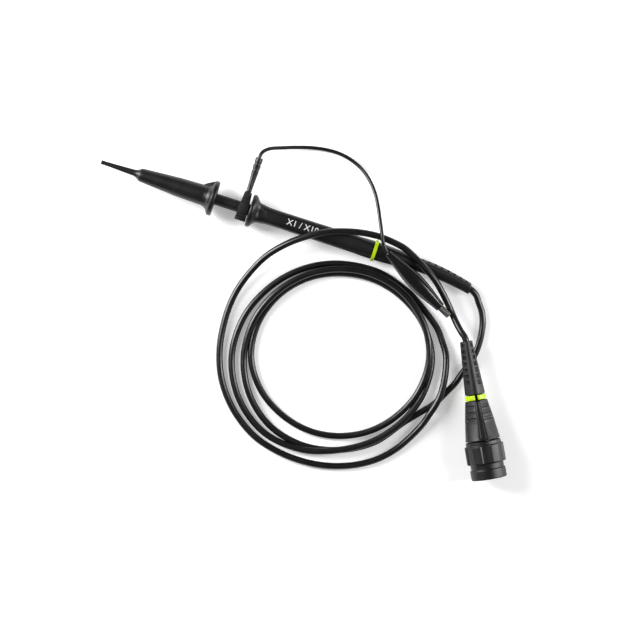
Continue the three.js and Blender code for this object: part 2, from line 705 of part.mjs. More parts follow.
// ---------------------------------------------------------------- assembly

// The probe rests on its body flange at one end and on its marker ring near the other.
function probeGroup() {
  const group = new THREE.Group();
  const middle = PROBE_LENGTH / 2;
  const rise = BODY_FLANGE_RADIUS * Math.cos(PROBE_TILT) - (middle - BODY_FLANGE_BACK) * Math.sin(PROBE_TILT);
  group.rotation.y = PROBE_TILT;
  group.position.set(-middle * Math.cos(PROBE_TILT), 0, rise + middle * Math.sin(PROBE_TILT));
  group.add(hookSleeve(), hookCore(), hookWire(), hookContactSocket(), hookSpring());
  group.add(probeNeedle(), tipInsulator(), groundRing(), frontBarrel(), handleShell());
  group.add(attenuatorBoard(), inputResistor(), compensationCapacitor());
  group.add(switchHousing(), switchSlider(), markerRingProbe(), probeStrainRelief(), cableFerrule());
  group.add(groundCollar(), groundCollarContact(), groundLeadBoot());
  return group;
}

// The clip lies rolled on its side, its moving jaw facing up and away from the probe.
function clipGroup() {
  const group = new THREE.Group();
  const along = new THREE.Vector3(Math.cos(CLIP_HEADING), Math.sin(CLIP_HEADING), -CLIP_DROP).normalize();
  const level = new THREE.Vector3(0, 0, 1).cross(along).normalize();
  const up = along.clone().cross(level);
  const opening = up.multiplyScalar(Math.cos(CLIP_ROLL)).addScaledVector(level, -Math.sin(CLIP_ROLL));
  const side = opening.clone().cross(along);
  group.quaternion.setFromRotationMatrix(new THREE.Matrix4().makeBasis(along, side, opening));
  group.position.set(...CLIP_TAIL);
  group.add(clipFixedJaw(), clipMovingJaw(), clipPivotPin(), clipSpring(), clipBoot(), clipBootFlap());
  return group;
}

function bncGroup() {
  const group = new THREE.Group();
  group.rotation.z = BNC_HEADING;
  group.position.set(...BNC_START);
  group.add(bncStrainRelief(), markerRingBnc(), compBoxShell(), compBoard(), trimmerBody(), trimmerRotor());
  group.add(bncInnerShell(), bncInsulator(), bncCentrePin(), bncGasket(), bncWaveWasher(), bncThrustWasher());
  group.add(bncCouplingSleeve(), bncGrip(), bncRetainingRing());
  return group;
}

const probe = new THREE.Group();
probe.add(probeGroup(), clipGroup(), bncGroup(), groundWire(), cableLeadOut(), cableCoil(), cableOuterLoop());

export default probe;
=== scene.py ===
"""Passive oscilloscope probe on a pale table: hook tip, body, ground lead, coiled cable and BNC end."""

import json
import math

import bmesh
import bpy
import numpy as np
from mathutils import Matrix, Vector


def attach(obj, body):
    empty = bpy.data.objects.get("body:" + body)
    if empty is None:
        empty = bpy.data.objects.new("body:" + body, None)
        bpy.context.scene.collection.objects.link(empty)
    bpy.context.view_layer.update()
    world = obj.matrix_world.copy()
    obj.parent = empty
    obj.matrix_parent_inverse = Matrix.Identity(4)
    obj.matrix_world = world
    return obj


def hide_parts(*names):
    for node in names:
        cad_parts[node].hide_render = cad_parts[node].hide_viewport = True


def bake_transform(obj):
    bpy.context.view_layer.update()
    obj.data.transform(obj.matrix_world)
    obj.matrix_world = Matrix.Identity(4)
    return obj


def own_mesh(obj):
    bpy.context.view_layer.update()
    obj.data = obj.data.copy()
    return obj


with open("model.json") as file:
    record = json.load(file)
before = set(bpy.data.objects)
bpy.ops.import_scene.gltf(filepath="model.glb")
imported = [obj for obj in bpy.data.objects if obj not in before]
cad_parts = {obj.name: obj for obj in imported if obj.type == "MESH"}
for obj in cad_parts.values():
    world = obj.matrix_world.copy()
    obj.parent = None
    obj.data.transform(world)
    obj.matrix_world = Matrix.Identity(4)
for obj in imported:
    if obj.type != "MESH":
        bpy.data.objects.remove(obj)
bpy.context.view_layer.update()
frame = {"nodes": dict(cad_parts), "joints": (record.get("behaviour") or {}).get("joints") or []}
NODES = frame["nodes"]
JOINTS = {joint["name"]: joint for joint in frame["joints"]}
ROOT = "probe_and_cable"
MM = 0.001
TURN = 2 * math.pi


# ---------------------------------------------------------------- local frames


class Place:
    """A local frame, in millimetres: station along an axis, then sideways, then up."""

    def __init__(self, origin, along, up):
        self.along = unit(along)
        self.up = unit(up - np.dot(up, self.along) * self.along)
        self.side = np.cross(self.up, self.along)
        self.origin = np.array(origin, float)

    def __call__(self, points):
        """In metres: the origin plus each coordinate times its own direction."""
        points = np.asarray(points, float) * MM
        axes = np.array([self.along, self.side, self.up])
        return self.origin + points @ axes


def unit(vector):
    vector = np.array(vector, float)
    return vector / np.linalg.norm(vector)


def joint_frame(joint, station, along, up):
    """The frame whose given station lies at the joint's own point."""
    origin = np.array(JOINTS[joint]["pos_m"]) - unit(along) * station * MM
    return Place(origin, along, up)


UP = np.array([0.0, 0.0, 1.0])
SWIVEL_STATION = 71
PIVOT_STATION = 21
SPIN_STATION = 55
CLIP_TAIL = np.array([50, 0.4, 12.5]) * MM

PROBE = joint_frame("ground_swivel", SWIVEL_STATION, JOINTS["ground_swivel"]["axis"], UP)
BNC = joint_frame("bnc_spin", SPIN_STATION, JOINTS["bnc_spin"]["axis"], UP)
clip_pivot = np.array(JOINTS["clip_jaw"]["pos_m"])
clip_side = -unit(JOINTS["clip_jaw"]["axis"])
clip_along = unit(clip_pivot - CLIP_TAIL)
CLIP = joint_frame("clip_jaw", PIVOT_STATION, clip_along, np.cross(clip_along, clip_side))


# ---------------------------------------------------------------- surfaces


def grid_faces(rows, columns, wrap_rows):
    """Quads of a grid whose columns always close on themselves."""
    i = np.arange(rows if wrap_rows else rows - 1)[:, None]
    j = np.arange(columns)[None, :]
    below, right = (i + 1) % rows, (j + 1) % columns
    corners = [i * columns + j, i * columns + right, below * columns + right, below * columns + j]
    return np.stack(np.broadcast_arrays(*corners), -1).reshape(-1, 4)


def outward(points, faces):
    """Turn every face over if the closed mesh holds a negative volume."""
    volume = 0.0
    centre = points.mean(0)
    for block in faces:
        a = points[block[:, 0]] - centre
        for k in range(1, block.shape[1] - 1):
            b, c = points[block[:, k]] - centre, points[block[:, k + 1]] - centre
            volume += np.einsum("ij,ij->", a, np.cross(b, c))
    return points, [block if volume > 0 else block[:, ::-1] for block in faces]


def loft(rings, wrap=False, caps="fan"):
    """A closed skin through rings of points; the ends are fans to a middle point or strips across."""
    rows, columns, _ = rings.shape
    points = rings.reshape(-1, 3)
    faces = [grid_faces(rows, columns, wrap)]
    if not wrap and caps == "fan":
        ends = np.array([rings[0].mean(0), rings[-1].mean(0)])
        first, last = len(points), len(points) + 1
        points = np.vstack([points, ends])
        j = np.arange(columns)
        right = (j + 1) % columns
        base = (rows - 1) * columns
        faces.append(np.stack([right, j, np.full(columns, first)], -1))
        faces.append(np.stack([base + j, base + right, np.full(columns, last)], -1))
    elif not wrap and caps == "flat":
        faces.append(np.arange(columns)[None, ::-1])
        faces.append(np.arange(columns)[None] + (rows - 1) * columns)
    elif not wrap:
        half = columns // 2
        j = np.arange(half - 1)
        strip = np.stack([j, columns - 1 - j, columns - 2 - j, j + 1], -1)
        faces.append(strip)
        faces.append(strip[:, ::-1] + (rows - 1) * columns)
    return outward(points, faces)


def rounded(corners, radius=0.15, steps=4):
    """An outline with each inner corner replaced by a parabola arc between two tangent points,
    and a support point just beyond each of them."""
    corners = [np.array(c, float) for c in corners]
    line = [corners[0]]
    for before, corner, after in zip(corners, corners[1:], corners[2:]):
        reach = [np.linalg.norm(before - corner), np.linalg.norm(after - corner)]
        cut = min(radius, 0.4 * min(reach))
        start = corner + (before - corner) / reach[0] * cut
        end = corner + (after - corner) / reach[1] * cut
        line.append(start + (before - corner) / reach[0] * cut * 0.25)
        for t in np.linspace(0, 1, steps):
            line.append((1 - t) ** 2 * start + 2 * t * (1 - t) * corner + t * t * end)
        line.append(end + (after - corner) / reach[1] * cut * 0.25)
    line.append(corners[-1])
    return np.array(line)


def rounded_loop(corners, radius=0.15, steps=4):
    """The same for an outline that closes on itself."""
    first, second = np.array(corners[0], float), np.array(corners[1], float)
    middle = (first + second) / 2
    line = rounded([middle, *corners[1:], corners[0], middle], radius, steps)
    return line[:-1]


def revolve(place, outline, segments=96, loop=False, shape=None):
    """Points at each outline station and radius, carried round the axis: sideways is radius times
    cosine, up is radius times sine. shape may change the radius from station and angle."""
    outline = np.asarray(outline, float)
    station, radius = outline[:, :1], outline[:, 1:]
    angle = np.linspace(0, TURN, segments, endpoint=False)[None, :]
    station = np.broadcast_to(station, (len(outline), segments))
    radius = np.broadcast_to(radius, station.shape)
    if shape is not None:
        radius = shape(station, angle, radius)
    rings = np.stack([station, radius * np.cos(angle), radius * np.sin(angle)], -1)
    return loft(place(rings), wrap=loop)


def tube_rings(path, radius, sides, up=UP):
    """Circles square to a path; radius may be one number or one per point."""
    path = np.asarray(path, float)
    along = np.gradient(path, axis=0)
    along /= np.linalg.norm(along, axis=1)[:, None]
    side = np.cross(np.broadcast_to(up, along.shape), along)
    side /= np.linalg.norm(side, axis=1)[:, None]
    over = np.cross(along, side)
    angle = np.linspace(0, TURN, sides, endpoint=False)
    spread = np.cos(angle)[None, :, None] * side[:, None] + np.sin(angle)[None, :, None] * over[:, None]
    return path[:, None] + spread * np.broadcast_to(radius, len(path))[:, None, None]


def box_shell(place, low, high, bevel=0.2, steps=3):
    """A block with rounded upright edges and chamfered ends: one rounded rectangle, lofted along."""
    (x0, y0, z0), (x1, y1, z1) = low, high
    quarter = np.linspace(0, math.pi / 2, steps + 1)
    corners = [(y1, z1, 0), (y0, z1, 1), (y0, z0, 2), (y1, z0, 3)]
    ring = []
    for y, z, k in corners:
        inward = [math.copysign(bevel, y - (y0 + y1) / 2), math.copysign(bevel, z - (z0 + z1) / 2)]
        centre = np.array([y, z]) - inward
        angle = quarter + k * math.pi / 2
        ring.append(centre + bevel * np.stack([np.cos(angle), np.sin(angle)], -1))
    ring = np.vstack(ring)
    middle = np.array([(y0 + y1) / 2, (z0 + z1) / 2])
    sections = []
    size = np.array([y1 - y0, z1 - z0]) / 2
    steps_in = ((0, 1), (0.3, 0.3), (1, 0))
    front = [(x0 + step * bevel, inset * bevel) for step, inset in steps_in]
    back = [(x1 - step * bevel, inset * bevel) for step, inset in reversed(steps_in)]
    for x, inset in front + back:
        scaled = middle + (ring - middle) * (size - inset) / size
        sections.append(np.column_stack([np.full(len(ring), x), scaled]))
    return loft(place(np.array(sections)))


def plate(place, outline, low, high):
    """An outline of stations and heights, extruded sideways from low to high."""
    rings = [[[x, y, z] for x, z in outline] for y in (low, high)]
    return loft(place(np.array(rings)), caps="flat")


def samples(low, high, step, edges=(), soft=0.06):
    """Even samples with close pairs on both sides of each sharp edge."""
    even = np.linspace(low, high, max(2, round((high - low) / step) + 1))
    close = [e + k * soft for e in edges for k in (-1.5, -0.5, 0.5, 1.5)]
    values = np.concatenate([even, [v for v in close if low < v < high]])
    values = np.unique(np.round(values, 5))
    return values


def band(x, low, high, soft=0.06):
    """1 between low and high and 0 outside, with smooth short ramps."""
    rise = np.clip((x - low) / soft + 0.5, 0, 1)
    fall = np.clip((high - x) / soft + 0.5, 0, 1)
    product = rise * fall
    return product * product * (3 - 2 * product)


def bell(x, width):
    """1 at zero, falling off smoothly on both sides: exp(-(x / width) squared)."""
    return np.exp(-((x / width) ** 2))


def folded(angle, count, offset=0.0):
    """The signed angle to the nearest of count directions spaced evenly round the axis."""
    pitch = TURN / count
    return (angle - offset + pitch / 2) % pitch - pitch / 2


def squircle(angle, power, turn=0.0):
    """Radius factor of a superellipse: (|cos|^p + |sin|^p)^(-1/p), from a turned angle."""
    c, s = np.abs(np.cos(angle - turn)), np.abs(np.sin(angle - turn))
    return (c**power + s**power) ** (-1 / power)


# ---------------------------------------------------------------- pieces


def mesh_object(name, shells):
    """One mesh object from closed shells of points and faces."""
    points, faces, start = [], [], 0
    for shell_points, blocks in shells:
        points.append(shell_points)
        for block in blocks:
            faces.extend((block + start).tolist())
        start += len(shell_points)
    mesh = bpy.data.meshes.new(name)
    mesh.from_pydata(np.vstack(points).tolist(), [], faces)
    mesh.shade_smooth()
    mesh.validate()
    item = bpy.data.objects.new(name, mesh)
    bpy.context.scene.collection.objects.link(item)
    return item


def piece(name, shells, material, body=ROOT, replaces=()):
    """A finished piece: meshed, given its material and slot, and riding on its body."""
    item = mesh_object(name, shells)
    dress(item, material)
    if replaces:
        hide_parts(*replaces)
    if body:
        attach(item, body)
    return item


def dress(item, material):
    """Give a piece its one material and name the record's slot for it."""
    item.data.materials.clear()
    item.data.materials.append(material)


# ---------------------------------------------------------------- materials


def linear(code):
    """sRGB hex to linear RGBA."""
    values = [int(code[i : i + 2], 16) / 255 for i in (0, 2, 4)]
    return [v / 12.92 if v <= 0.04045 else ((v + 0.055) / 1.055) ** 2.4 for v in values] + [1.0]


def add(tree, kind, settings=None, **inputs):
    """Add a node, set its settings, and set or link its inputs by name."""
    node = tree.nodes.new(kind)
    for key, value in (settings or {}).items():
        setattr(node, key, value)
    for key, value in inputs.items():
        socket = node.inputs[key.replace("_", " ")]
        if isinstance(value, bpy.types.NodeSocket):
            tree.links.new(value, socket)
        else:
            socket.default_value = value
    return node


def start_material(name, slot):
    """A new material with its output, its Principled shader and Object coordinates."""
    material = bpy.data.materials.new(name)
    material["slot"] = slot
    material.use_nodes = True
    tree = material.node_tree
    tree.nodes.clear()
    shader = add(tree, "ShaderNodeBsdfPrincipled")
    output = add(tree, "ShaderNodeOutputMaterial", Surface=shader.outputs["BSDF"])
    output.is_active_output = True
    coords = add(tree, "ShaderNodeTexCoord").outputs["Object"]
    return material, tree, shader, coords


def grain(tree, coords, size_mm, detail=3.0, stretch=(1, 1, 1)):
    """Noise whose features are size_mm across."""
    mapped = add(tree, "ShaderNodeMapping", Vector=coords, Scale=stretch).outputs["Vector"]
    noise = add(tree, "ShaderNodeTexNoise", Vector=mapped, Scale=1 / (size_mm * MM), Detail=detail)
    return noise.outputs["Fac"]


def spread(tree, value, low, high):
    """Map a noise value, mostly between 0.3 and 0.7, to a range."""
    node = add(tree, "ShaderNodeMapRange", {"clamp": True}, Value=value)
    for key, number in (("From Min", 0.3), ("From Max", 0.7), ("To Min", low), ("To Max", high)):
        node.inputs[key].default_value = number
    return node.outputs["Result"]


def tint(tree, value, dark, light):
    """Mix two hex colours by a value."""
    node = add(tree, "ShaderNodeMix", {"data_type": "RGBA"})
    tree.links.new(value, node.inputs[0])
    node.inputs[6].default_value = linear(dark)
    node.inputs[7].default_value = linear(light)
    return node.outputs[2]


def set_shader(shader, **values):
    """Set or link the shader's inputs by name."""
    for key, value in values.items():
        socket = shader.inputs[key.replace("_", " ")]
        if isinstance(value, bpy.types.NodeSocket):
            shader.id_data.links.new(value, socket)
        else:
            socket.default_value = value


def bump(tree, height, depth_mm, strength=1.0):
    """A normal that tilts with a height map depth_mm deep."""
    node = add(tree, "ShaderNodeBump", Height=height, Strength=strength, Distance=depth_mm * MM)
    return node.outputs["Normal"]


def moulded(name, slot, dark, light, roughness, texture_mm, depth_mm, handling_mm=9.0):
    """Injection-moulded plastic: a fine tool texture and uneven gloss where hands have polished it."""
    material, tree, shader, coords = start_material(name, slot)
    texture = grain(tree, coords, texture_mm, 2.0)
    handling = grain(tree, coords, handling_mm, 4.0)
    set_shader(
        shader,
        Base_Color=tint(tree, spread(tree, handling, 0, 1), dark, light),
        Roughness=spread(tree, handling, roughness - 0.05, roughness + 0.05),
        Normal=bump(tree, texture, depth_mm),
        IOR=1.5,
    )
    return material


def mottled(name, slot, dark, light, roughness, size_mm, detail, depth_mm, **others):
    """One noise gives the tint, the gloss between two roughnesses and the relief."""
    material, tree, shader, coords = start_material(name, slot)
    tone = grain(tree, coords, size_mm, detail)
    set_shader(
        shader,
        Base_Color=tint(tree, spread(tree, tone, 0, 1), dark, light),
        Roughness=spread(tree, tone, *roughness),
        Normal=bump(tree, tone, depth_mm),
        **others,
    )
    return material


def matte_abs():
    """ABS moulded in a spark-eroded tool: black with a soft grey sheen. The real texture is about
    0.05 mm; it is drawn at 0.35 mm so that it shows."""
    return moulded("black_abs_spark_textured", "matte_black_abs", "060607", "0a0a0b", 0.42, 0.35, 0.008)


def soft_tpe():
    """Soft thermoplastic rubber moulded over the cable: black, duller than the ABS."""
    return moulded("black_tpe_overmould", "soft_black_tpe", "09090a", "0f0f10", 0.46, 0.3, 0.012, 6.0)


def collar_abs():
    """Unpolished ABS of the snap-on collar and the neck: the deepest black, almost without gloss."""
    return moulded("black_abs_matte", "matte_black_abs", "060607", "0a0a0b", 0.62, 0.3, 0.012, 5.0)


def extruded_pvc():
    """PVC jacket extruded over the braid: satin black, with faint length-wise unevenness."""
    material, tree, shader, coords = start_material("black_pvc_extruded", "satin_black_pvc")
    haze = grain(tree, coords, 4.0, 3.0)
    fine = grain(tree, coords, 1.4, 2.0)
    set_shader(
        shader,
        Base_Color=tint(tree, spread(tree, haze, 0, 1), "070708", "0b0b0c"),
        Roughness=spread(tree, haze, 0.27, 0.35),
        Normal=bump(tree, fine, 0.003),
        IOR=1.53,
    )
    return material


def dipped_pvc():
    """Dip-moulded PVC of the clip's boot: thick, glossy black with a slow orange-peel."""
    material, tree, shader, coords = start_material("black_pvc_dipped", "gloss_black_pvc")
    peel = grain(tree, coords, 2.2, 1.0)
    smear = grain(tree, coords, 5.0, 4.0)
    set_shader(
        shader,
        Base_Color=tint(tree, spread(tree, smear, 0, 1), "040405", "080809"),
        Roughness=spread(tree, smear, 0.17, 0.25),
        Normal=bump(tree, peel, 0.005),
        IOR=1.53,
        Coat_Weight=0.3,
        Coat_Roughness=0.12,
    )
    return material


def boot_pvc():
    """Ground lead's crimped boot: semi-gloss PVC that scatters a grey sheen."""
    return moulded("black_pvc_crimp_boot", "soft_black_tpe", "09090a", "101011", 0.44, 0.4, 0.004, 3.0)


def marker_plastic():
    """Dyed polypropylene coding ring: fluorescent yellow-green, a little light passes through it."""
    through = {"Subsurface_Weight": 0.25, "Subsurface_Radius": (0.6, 0.8, 0.1), "Subsurface_Scale": 0.0008}
    return mottled(
        "yellow_green_polypropylene", "marker_plastic", "b4d400", "c8e600", (0.3, 0.42), 1.5, 2.0, 0.02,
        **through, IOR=1.49,
    )


def metal(name, slot, dark, light, roughness, scratch_mm, depth_mm):
    """Bare or plated metal with fine rubbing marks and slightly uneven gloss."""
    material, tree, shader, coords = start_material(name, slot)
    rubbed = grain(tree, coords, scratch_mm, 4.0, (1, 4, 1))
    cloud = grain(tree, coords, scratch_mm * 6, 3.0)
    set_shader(
        shader,
        Base_Color=tint(tree, spread(tree, cloud, 0, 1), dark, light),
        Metallic=1.0,
        Roughness=spread(tree, rubbed, roughness - 0.06, roughness + 0.08),
        Normal=bump(tree, rubbed, depth_mm),
    )
    return material


def nickel_plate():
    """Bright nickel over brass or stamped steel: warm grey mirror, softened by fine rubbing."""
    return metal("nickel_plated_steel", "nickel_plate", "a39f98", "c2beb6", 0.2, 0.5, 0.004)


def spring_steel():
    """Drawn spring steel wire: cooler and a little duller than the plate."""
    return metal("spring_steel_drawn", "spring_steel", "a3a5a8", "bcbec0", 0.28, 0.4, 0.003)


def gold_plate():
    """Thin gold over brass contacts: warm, smooth and bright."""
    return metal("gold_plated_brass", "gold_plate", "d6a94e", "e6bf6c", 0.2, 0.4, 0.002)


def ptfe():
    """Turned PTFE: milky white, waxy, with faint tool rings."""
    through = {"Subsurface_Weight": 0.2, "Subsurface_Radius": (1, 1, 1), "Subsurface_Scale": 0.0006}
    return mottled(
        "ptfe_turned", "ptfe", "e6e6e0", "f2f2ee", (0.42, 0.55), 0.8, 2.0, 0.01, **through, IOR=1.35
    )


def board_laminate():
    """Glass-epoxy circuit board under green solder mask: the weave shows faintly."""
    material, tree, shader, coords = start_material("glass_epoxy_green_mask", "board_laminate")
    weave = add(tree, "ShaderNodeTexChecker", Vector=coords, Scale=1 / (0.9 * MM)).outputs["Fac"]
    cloud = grain(tree, coords, 1.0, 3.0)
    set_shader(
        shader,
        Base_Color=tint(tree, spread(tree, cloud, 0, 1), "123f26", "1b5a36"),
        Roughness=0.35,
        Normal=bump(tree, weave, 0.008),
        IOR=1.55,
    )
    return material


def ceramic_body():
    """Lacquered ceramic of the resistor, capacitor and trimmer: tan, finely mottled."""
    return mottled(
        "ceramic_lacquered", "ceramic_body", "a87a45", "c29660", (0.4, 0.6), 0.3, 4.0, 0.01, IOR=1.6
    )


def silicone_rubber():
    """Moulded silicone gasket: brick red, soft sheen."""
    return mottled(
        "silicone_rubber_moulded", "silicone_rubber", "93341f", "ab4530", (0.5, 0.62), 0.5, 3.0, 0.01,
        IOR=1.42,
    )


def pad_print_ink():
    """Pad-printed ink: flat white with thin patches where it has rubbed."""
    material, tree, shader, coords = start_material("white_pad_print_ink", "marker_plastic")
    worn = grain(tree, coords, 0.4, 3.0)
    set_shader(
        shader,
        Base_Color=tint(tree, spread(tree, worn, 0, 1), "c9c9c6", "ecece9"),
        Roughness=0.55,
        Normal=bump(tree, worn, 0.004),
    )
    return material


ABS = matte_abs()
DEEP_ABS = collar_abs()
TPE = soft_tpe()
PVC = extruded_pvc()
DIPPED = dipped_pvc()
CRIMP_BOOT = boot_pvc()
MARKER = marker_plastic()
NICKEL = nickel_plate()
STEEL = spring_steel()
GOLD = gold_plate()
PTFE = ptfe()
LAMINATE = board_laminate()
CERAMIC = ceramic_body()
SILICONE = silicone_rubber()
INK = pad_print_ink()


# ---------------------------------------------------------------- camera, light and table

VIEW_TURN = math.radians(17.85)
VIEW_CENTRE = np.array([29.1, -39.6, 0]) * MM
CAMERA_HEIGHT = 1.0
TABLE_GAP = 0.00005


def make_camera():
    """Straight above the table, turned so that the probe lies as it was laid."""
    data = bpy.data.cameras.new("camera")
    data.lens = 117
    data.sensor_width = 36
    camera = bpy.data.objects.new("camera", data)
    bpy.context.scene.collection.objects.link(camera)
    camera.location = (VIEW_CENTRE[0], VIEW_CENTRE[1], CAMERA_HEIGHT)
    camera.rotation_euler = (0, 0, VIEW_TURN)
    bpy.context.scene.camera = camera


def softbox(name, direction, distance, size, power, colour=(1, 1, 1)):
    """A large soft light; direction is right, up the table and height, as the camera sees them."""
    right = np.array([math.cos(VIEW_TURN), math.sin(VIEW_TURN), 0])
    away = np.array([-math.sin(VIEW_TURN), math.cos(VIEW_TURN), 0])
    toward = unit(direction[0] * right + direction[1] * away + direction[2] * UP)
    data = bpy.data.lights.new(name, "AREA")
    data.shape = "RECTANGLE"
    data.size, data.size_y = size
    data.energy = power
    data.color = colour
    lamp = bpy.data.objects.new(name, data)
    bpy.context.scene.collection.objects.link(lamp)
    lamp.location = VIEW_CENTRE + toward * distance
    lamp.rotation_euler = Vector((-toward).tolist()).to_track_quat("-Z", "Y").to_euler()


def make_table():
    """A plain pale sheet under everything."""
    material = bpy.data.materials.new("white_sheet")
    material.use_nodes = True
    set_shader(
        material.node_tree.nodes["Principled BSDF"],
        Base_Color=linear("f7f6f8"),
        Roughness=0.9,
        Specular_IOR_Level=0.1,
        Emission_Color=(1, 1, 1, 1),
        Emission_Strength=0.3,
    )
    corners = [(x, y, -TABLE_GAP) for x, y in ((-3, -3), (3, -3), (3, 3), (-3, 3))]
    mesh = bpy.data.meshes.new("table")
    mesh.from_pydata(corners, [], [(0, 1, 2, 3)])
    table = bpy.data.objects.new("table", mesh)
    bpy.context.scene.collection.objects.link(table)
    table.data.materials.append(material)


def make_world():
    """Faint even light from all round; colours reach the picture as they are, without a film curve."""
    world = bpy.data.worlds.new("studio")
    world.use_nodes = True
    background = world.node_tree.nodes["Background"]
    background.inputs["Color"].default_value = (1, 1, 1, 1)
    background.inputs["Strength"].default_value = 0.16
    bpy.context.scene.world = world
    bpy.context.scene.view_settings.view_transform = "Standard"


make_camera()
make_world()
make_table()
softbox("key_left", (-1.0, 0.45, 0.6), 0.9, (0.32, 0.8), 13.5)
softbox("fill_right", (1.0, 0.1, 0.5), 0.9, (0.22, 0.8), 7.5)


# ---------------------------------------------------------------- the cable

# From the probe's strain relief to the coil, metres.
LEAD_OUT_ROUTE = [
    [0.0942, -0.0038, 0.0032], [0.0968, -0.0054, 0.0026], [0.099, -0.0083, 0.002],
    [0.1016, -0.0117, 0.0017], [0.1036, -0.0161, 0.00165], [0.1047, -0.021, 0.00165],
    [0.1052, -0.0262, 0.00165], [0.105, -0.0318, 0.00165], [0.1039, -0.0377, 0.00165],
    [0.1018, -0.0431, 0.00165], [0.1001, -0.0487, 0.00165], [0.0976, -0.0536, 0.00165],
    [0.0947, -0.0593, 0.00165], [0.0921, -0.0632, 0.00165], [0.0902, -0.0652, 0.00165],
]

# From the coil, once round outside it and over the probe, to the BNC end, metres.
OUTER_LOOP_ROUTE = [
    [0.0813, -0.024, 0.0017], [0.0849, -0.0272, 0.0019], [0.0881, -0.0315, 0.0025],
    [0.091, -0.0358, 0.0033], [0.0928, -0.0402, 0.0042], [0.0944, -0.0474, 0.005],
    [0.095, -0.055, 0.00515], [0.0944, -0.0604, 0.0051], [0.093, -0.0659, 0.0044],
    [0.0905, -0.0738, 0.0027], [0.0842, -0.0854, 0.00165], [0.0768, -0.0938, 0.00165],
    [0.0686, -0.0995, 0.00165], [0.0597, -0.1034, 0.00165], [0.0504, -0.1058, 0.00165],
    [0.0406, -0.1067, 0.00165], [0.0303, -0.1061, 0.00165], [0.0194, -0.1036, 0.00165],
    [0.0111, -0.0996, 0.00165], [0.0028, -0.0934, 0.00165], [-0.0042, -0.0856, 0.00165],
    [-0.0092, -0.0771, 0.00165], [-0.0126, -0.0671, 0.00165], [-0.0142, -0.0566, 0.00165],
    [-0.0143, -0.0458, 0.0019], [-0.0125, -0.0356, 0.0029], [-0.0084, -0.025, 0.005],
    [-0.0035, -0.0168, 0.0075], [0.0041, -0.0089, 0.0105], [0.0122, -0.0029, 0.0123],
    [0.0186, 0.0007, 0.0126], [0.0253, 0.0034, 0.0121], [0.0346, 0.0059, 0.011],
    [0.0444, 0.0069, 0.0099], [0.0548, 0.0058, 0.0092], [0.0605, 0.0038, 0.0092],
    [0.0665, 0.0007, 0.0096], [0.0714, -0.002, 0.0092], [0.076, -0.0051, 0.0083],
    [0.0802, -0.0088, 0.0072], [0.0842, -0.0128, 0.0061], [0.0881, -0.0171, 0.0055],
    [0.0917, -0.0212, 0.0067], [0.0952, -0.0246, 0.0086], [0.0971, -0.0261, 0.0092],
    [0.098, -0.0272, 0.00935],
]

# The ground wire, from its boot to the alligator clip's tail, metres.
WIRE_ROUTE = [
    [-0.0221, 0.0257, 0.0081], [-0.0214, 0.0284, 0.0078], [-0.0186, 0.031, 0.0068],
    [-0.0135, 0.0332, 0.005], [-0.007, 0.0357, 0.003], [0, 0.0379, 0.0015], [0.0072, 0.0392, 0.001],
    [0.014, 0.0393, 0.001], [0.0208, 0.0378, 0.0015], [0.0268, 0.0349, 0.0029],
    [0.0319, 0.0306, 0.005], [0.0359, 0.0256, 0.0074], [0.0391, 0.0199, 0.0096],
    [0.0415, 0.0148, 0.0113], [0.0437, 0.0101, 0.0126], [0.0456, 0.006, 0.0131],
    [0.0476, 0.0028, 0.0129], [0.0494, 0.0008, 0.0126],
]

# The coil: centreline radius and height at each eighth of a turn, going clockwise from lower right.
COIL_CENTRE = np.array([0.0432, -0.0537])
COIL_START = -45
COIL_RADIUS = [
    0.0442, 0.0446, 0.0468, 0.0457, 0.0431, 0.0421, 0.0433, 0.0432,
    0.0396, 0.0379, 0.039, 0.0422, 0.0414, 0.0402, 0.0416, 0.0446,
    0.0432, 0.0444, 0.0511, 0.0515, 0.0472, 0.0448, 0.0455,
]
COIL_LAYER = [
    0.00165, 0.00165, 0.00165, 0.00165, 0.0044, 0.0046, 0.0049, 0.0049,
    0.0031, 0.00165, 0.00165, 0.00165, 0.00165, 0.00165, 0.00165, 0.00165,
    0.0049, 0.0049, 0.0023, 0.00165, 0.00165, 0.00165, 0.00165,
]
COIL_EXIT = [28, 0.0468, 0.00165]
CABLE_DIAMETER = 0.0032
WIRE_DIAMETER = 0.0018


def catmull(points, per_span):
    """Uniform Catmull-Rom: each span is the cubic whose end slopes are half the neighbours' gap."""
    points = np.asarray(points, float)
    padded = np.vstack([2 * points[0] - points[1], points, 2 * points[-1] - points[-2]])
    t = np.linspace(0, 1, per_span, endpoint=False)[:, None]
    spans = []
    for a, b, c, d in zip(padded, padded[1:], padded[2:], padded[3:]):
        square = (2 * a - 5 * b + 4 * c - d) * t**2
        cube = (3 * b - a - 3 * c + d) * t**3
        spans.append(0.5 * (2 * b + (c - a) * t + square + cube))
    return np.vstack(spans + [points[-1:]])


def coil_turns():
    """Two and three quarter turns: radius and height pass smoothly through their eighth-turn values."""
    angle = COIL_START - 45 * np.arange(len(COIL_RADIUS))
    exit_angle = COIL_EXIT[0] - 360 * 3
    rows = np.column_stack([angle, COIL_RADIUS, COIL_LAYER])
    rows = np.vstack([rows, [exit_angle, COIL_EXIT[1], COIL_EXIT[2]]])
    fine = catmull(rows, 2)
    around = np.radians(fine[:, 0]) + VIEW_TURN
    spokes = np.column_stack([np.cos(around), np.sin(around)])
    return np.column_stack([COIL_CENTRE + spokes * fine[:, 1:2], fine[:, 2]])


def even_path(points, step):
    """The smooth path resampled at an even spacing."""
    fine = catmull(points, 24)
    reach = np.concatenate([[0], np.cumsum(np.linalg.norm(np.diff(fine, axis=0), axis=1))])
    marks = np.linspace(0, reach[-1], max(2, round(reach[-1] / step)) + 1)
    path = np.column_stack([np.interp(marks, reach, fine[:, k]) for k in range(3)])
    return path, reach[-1]


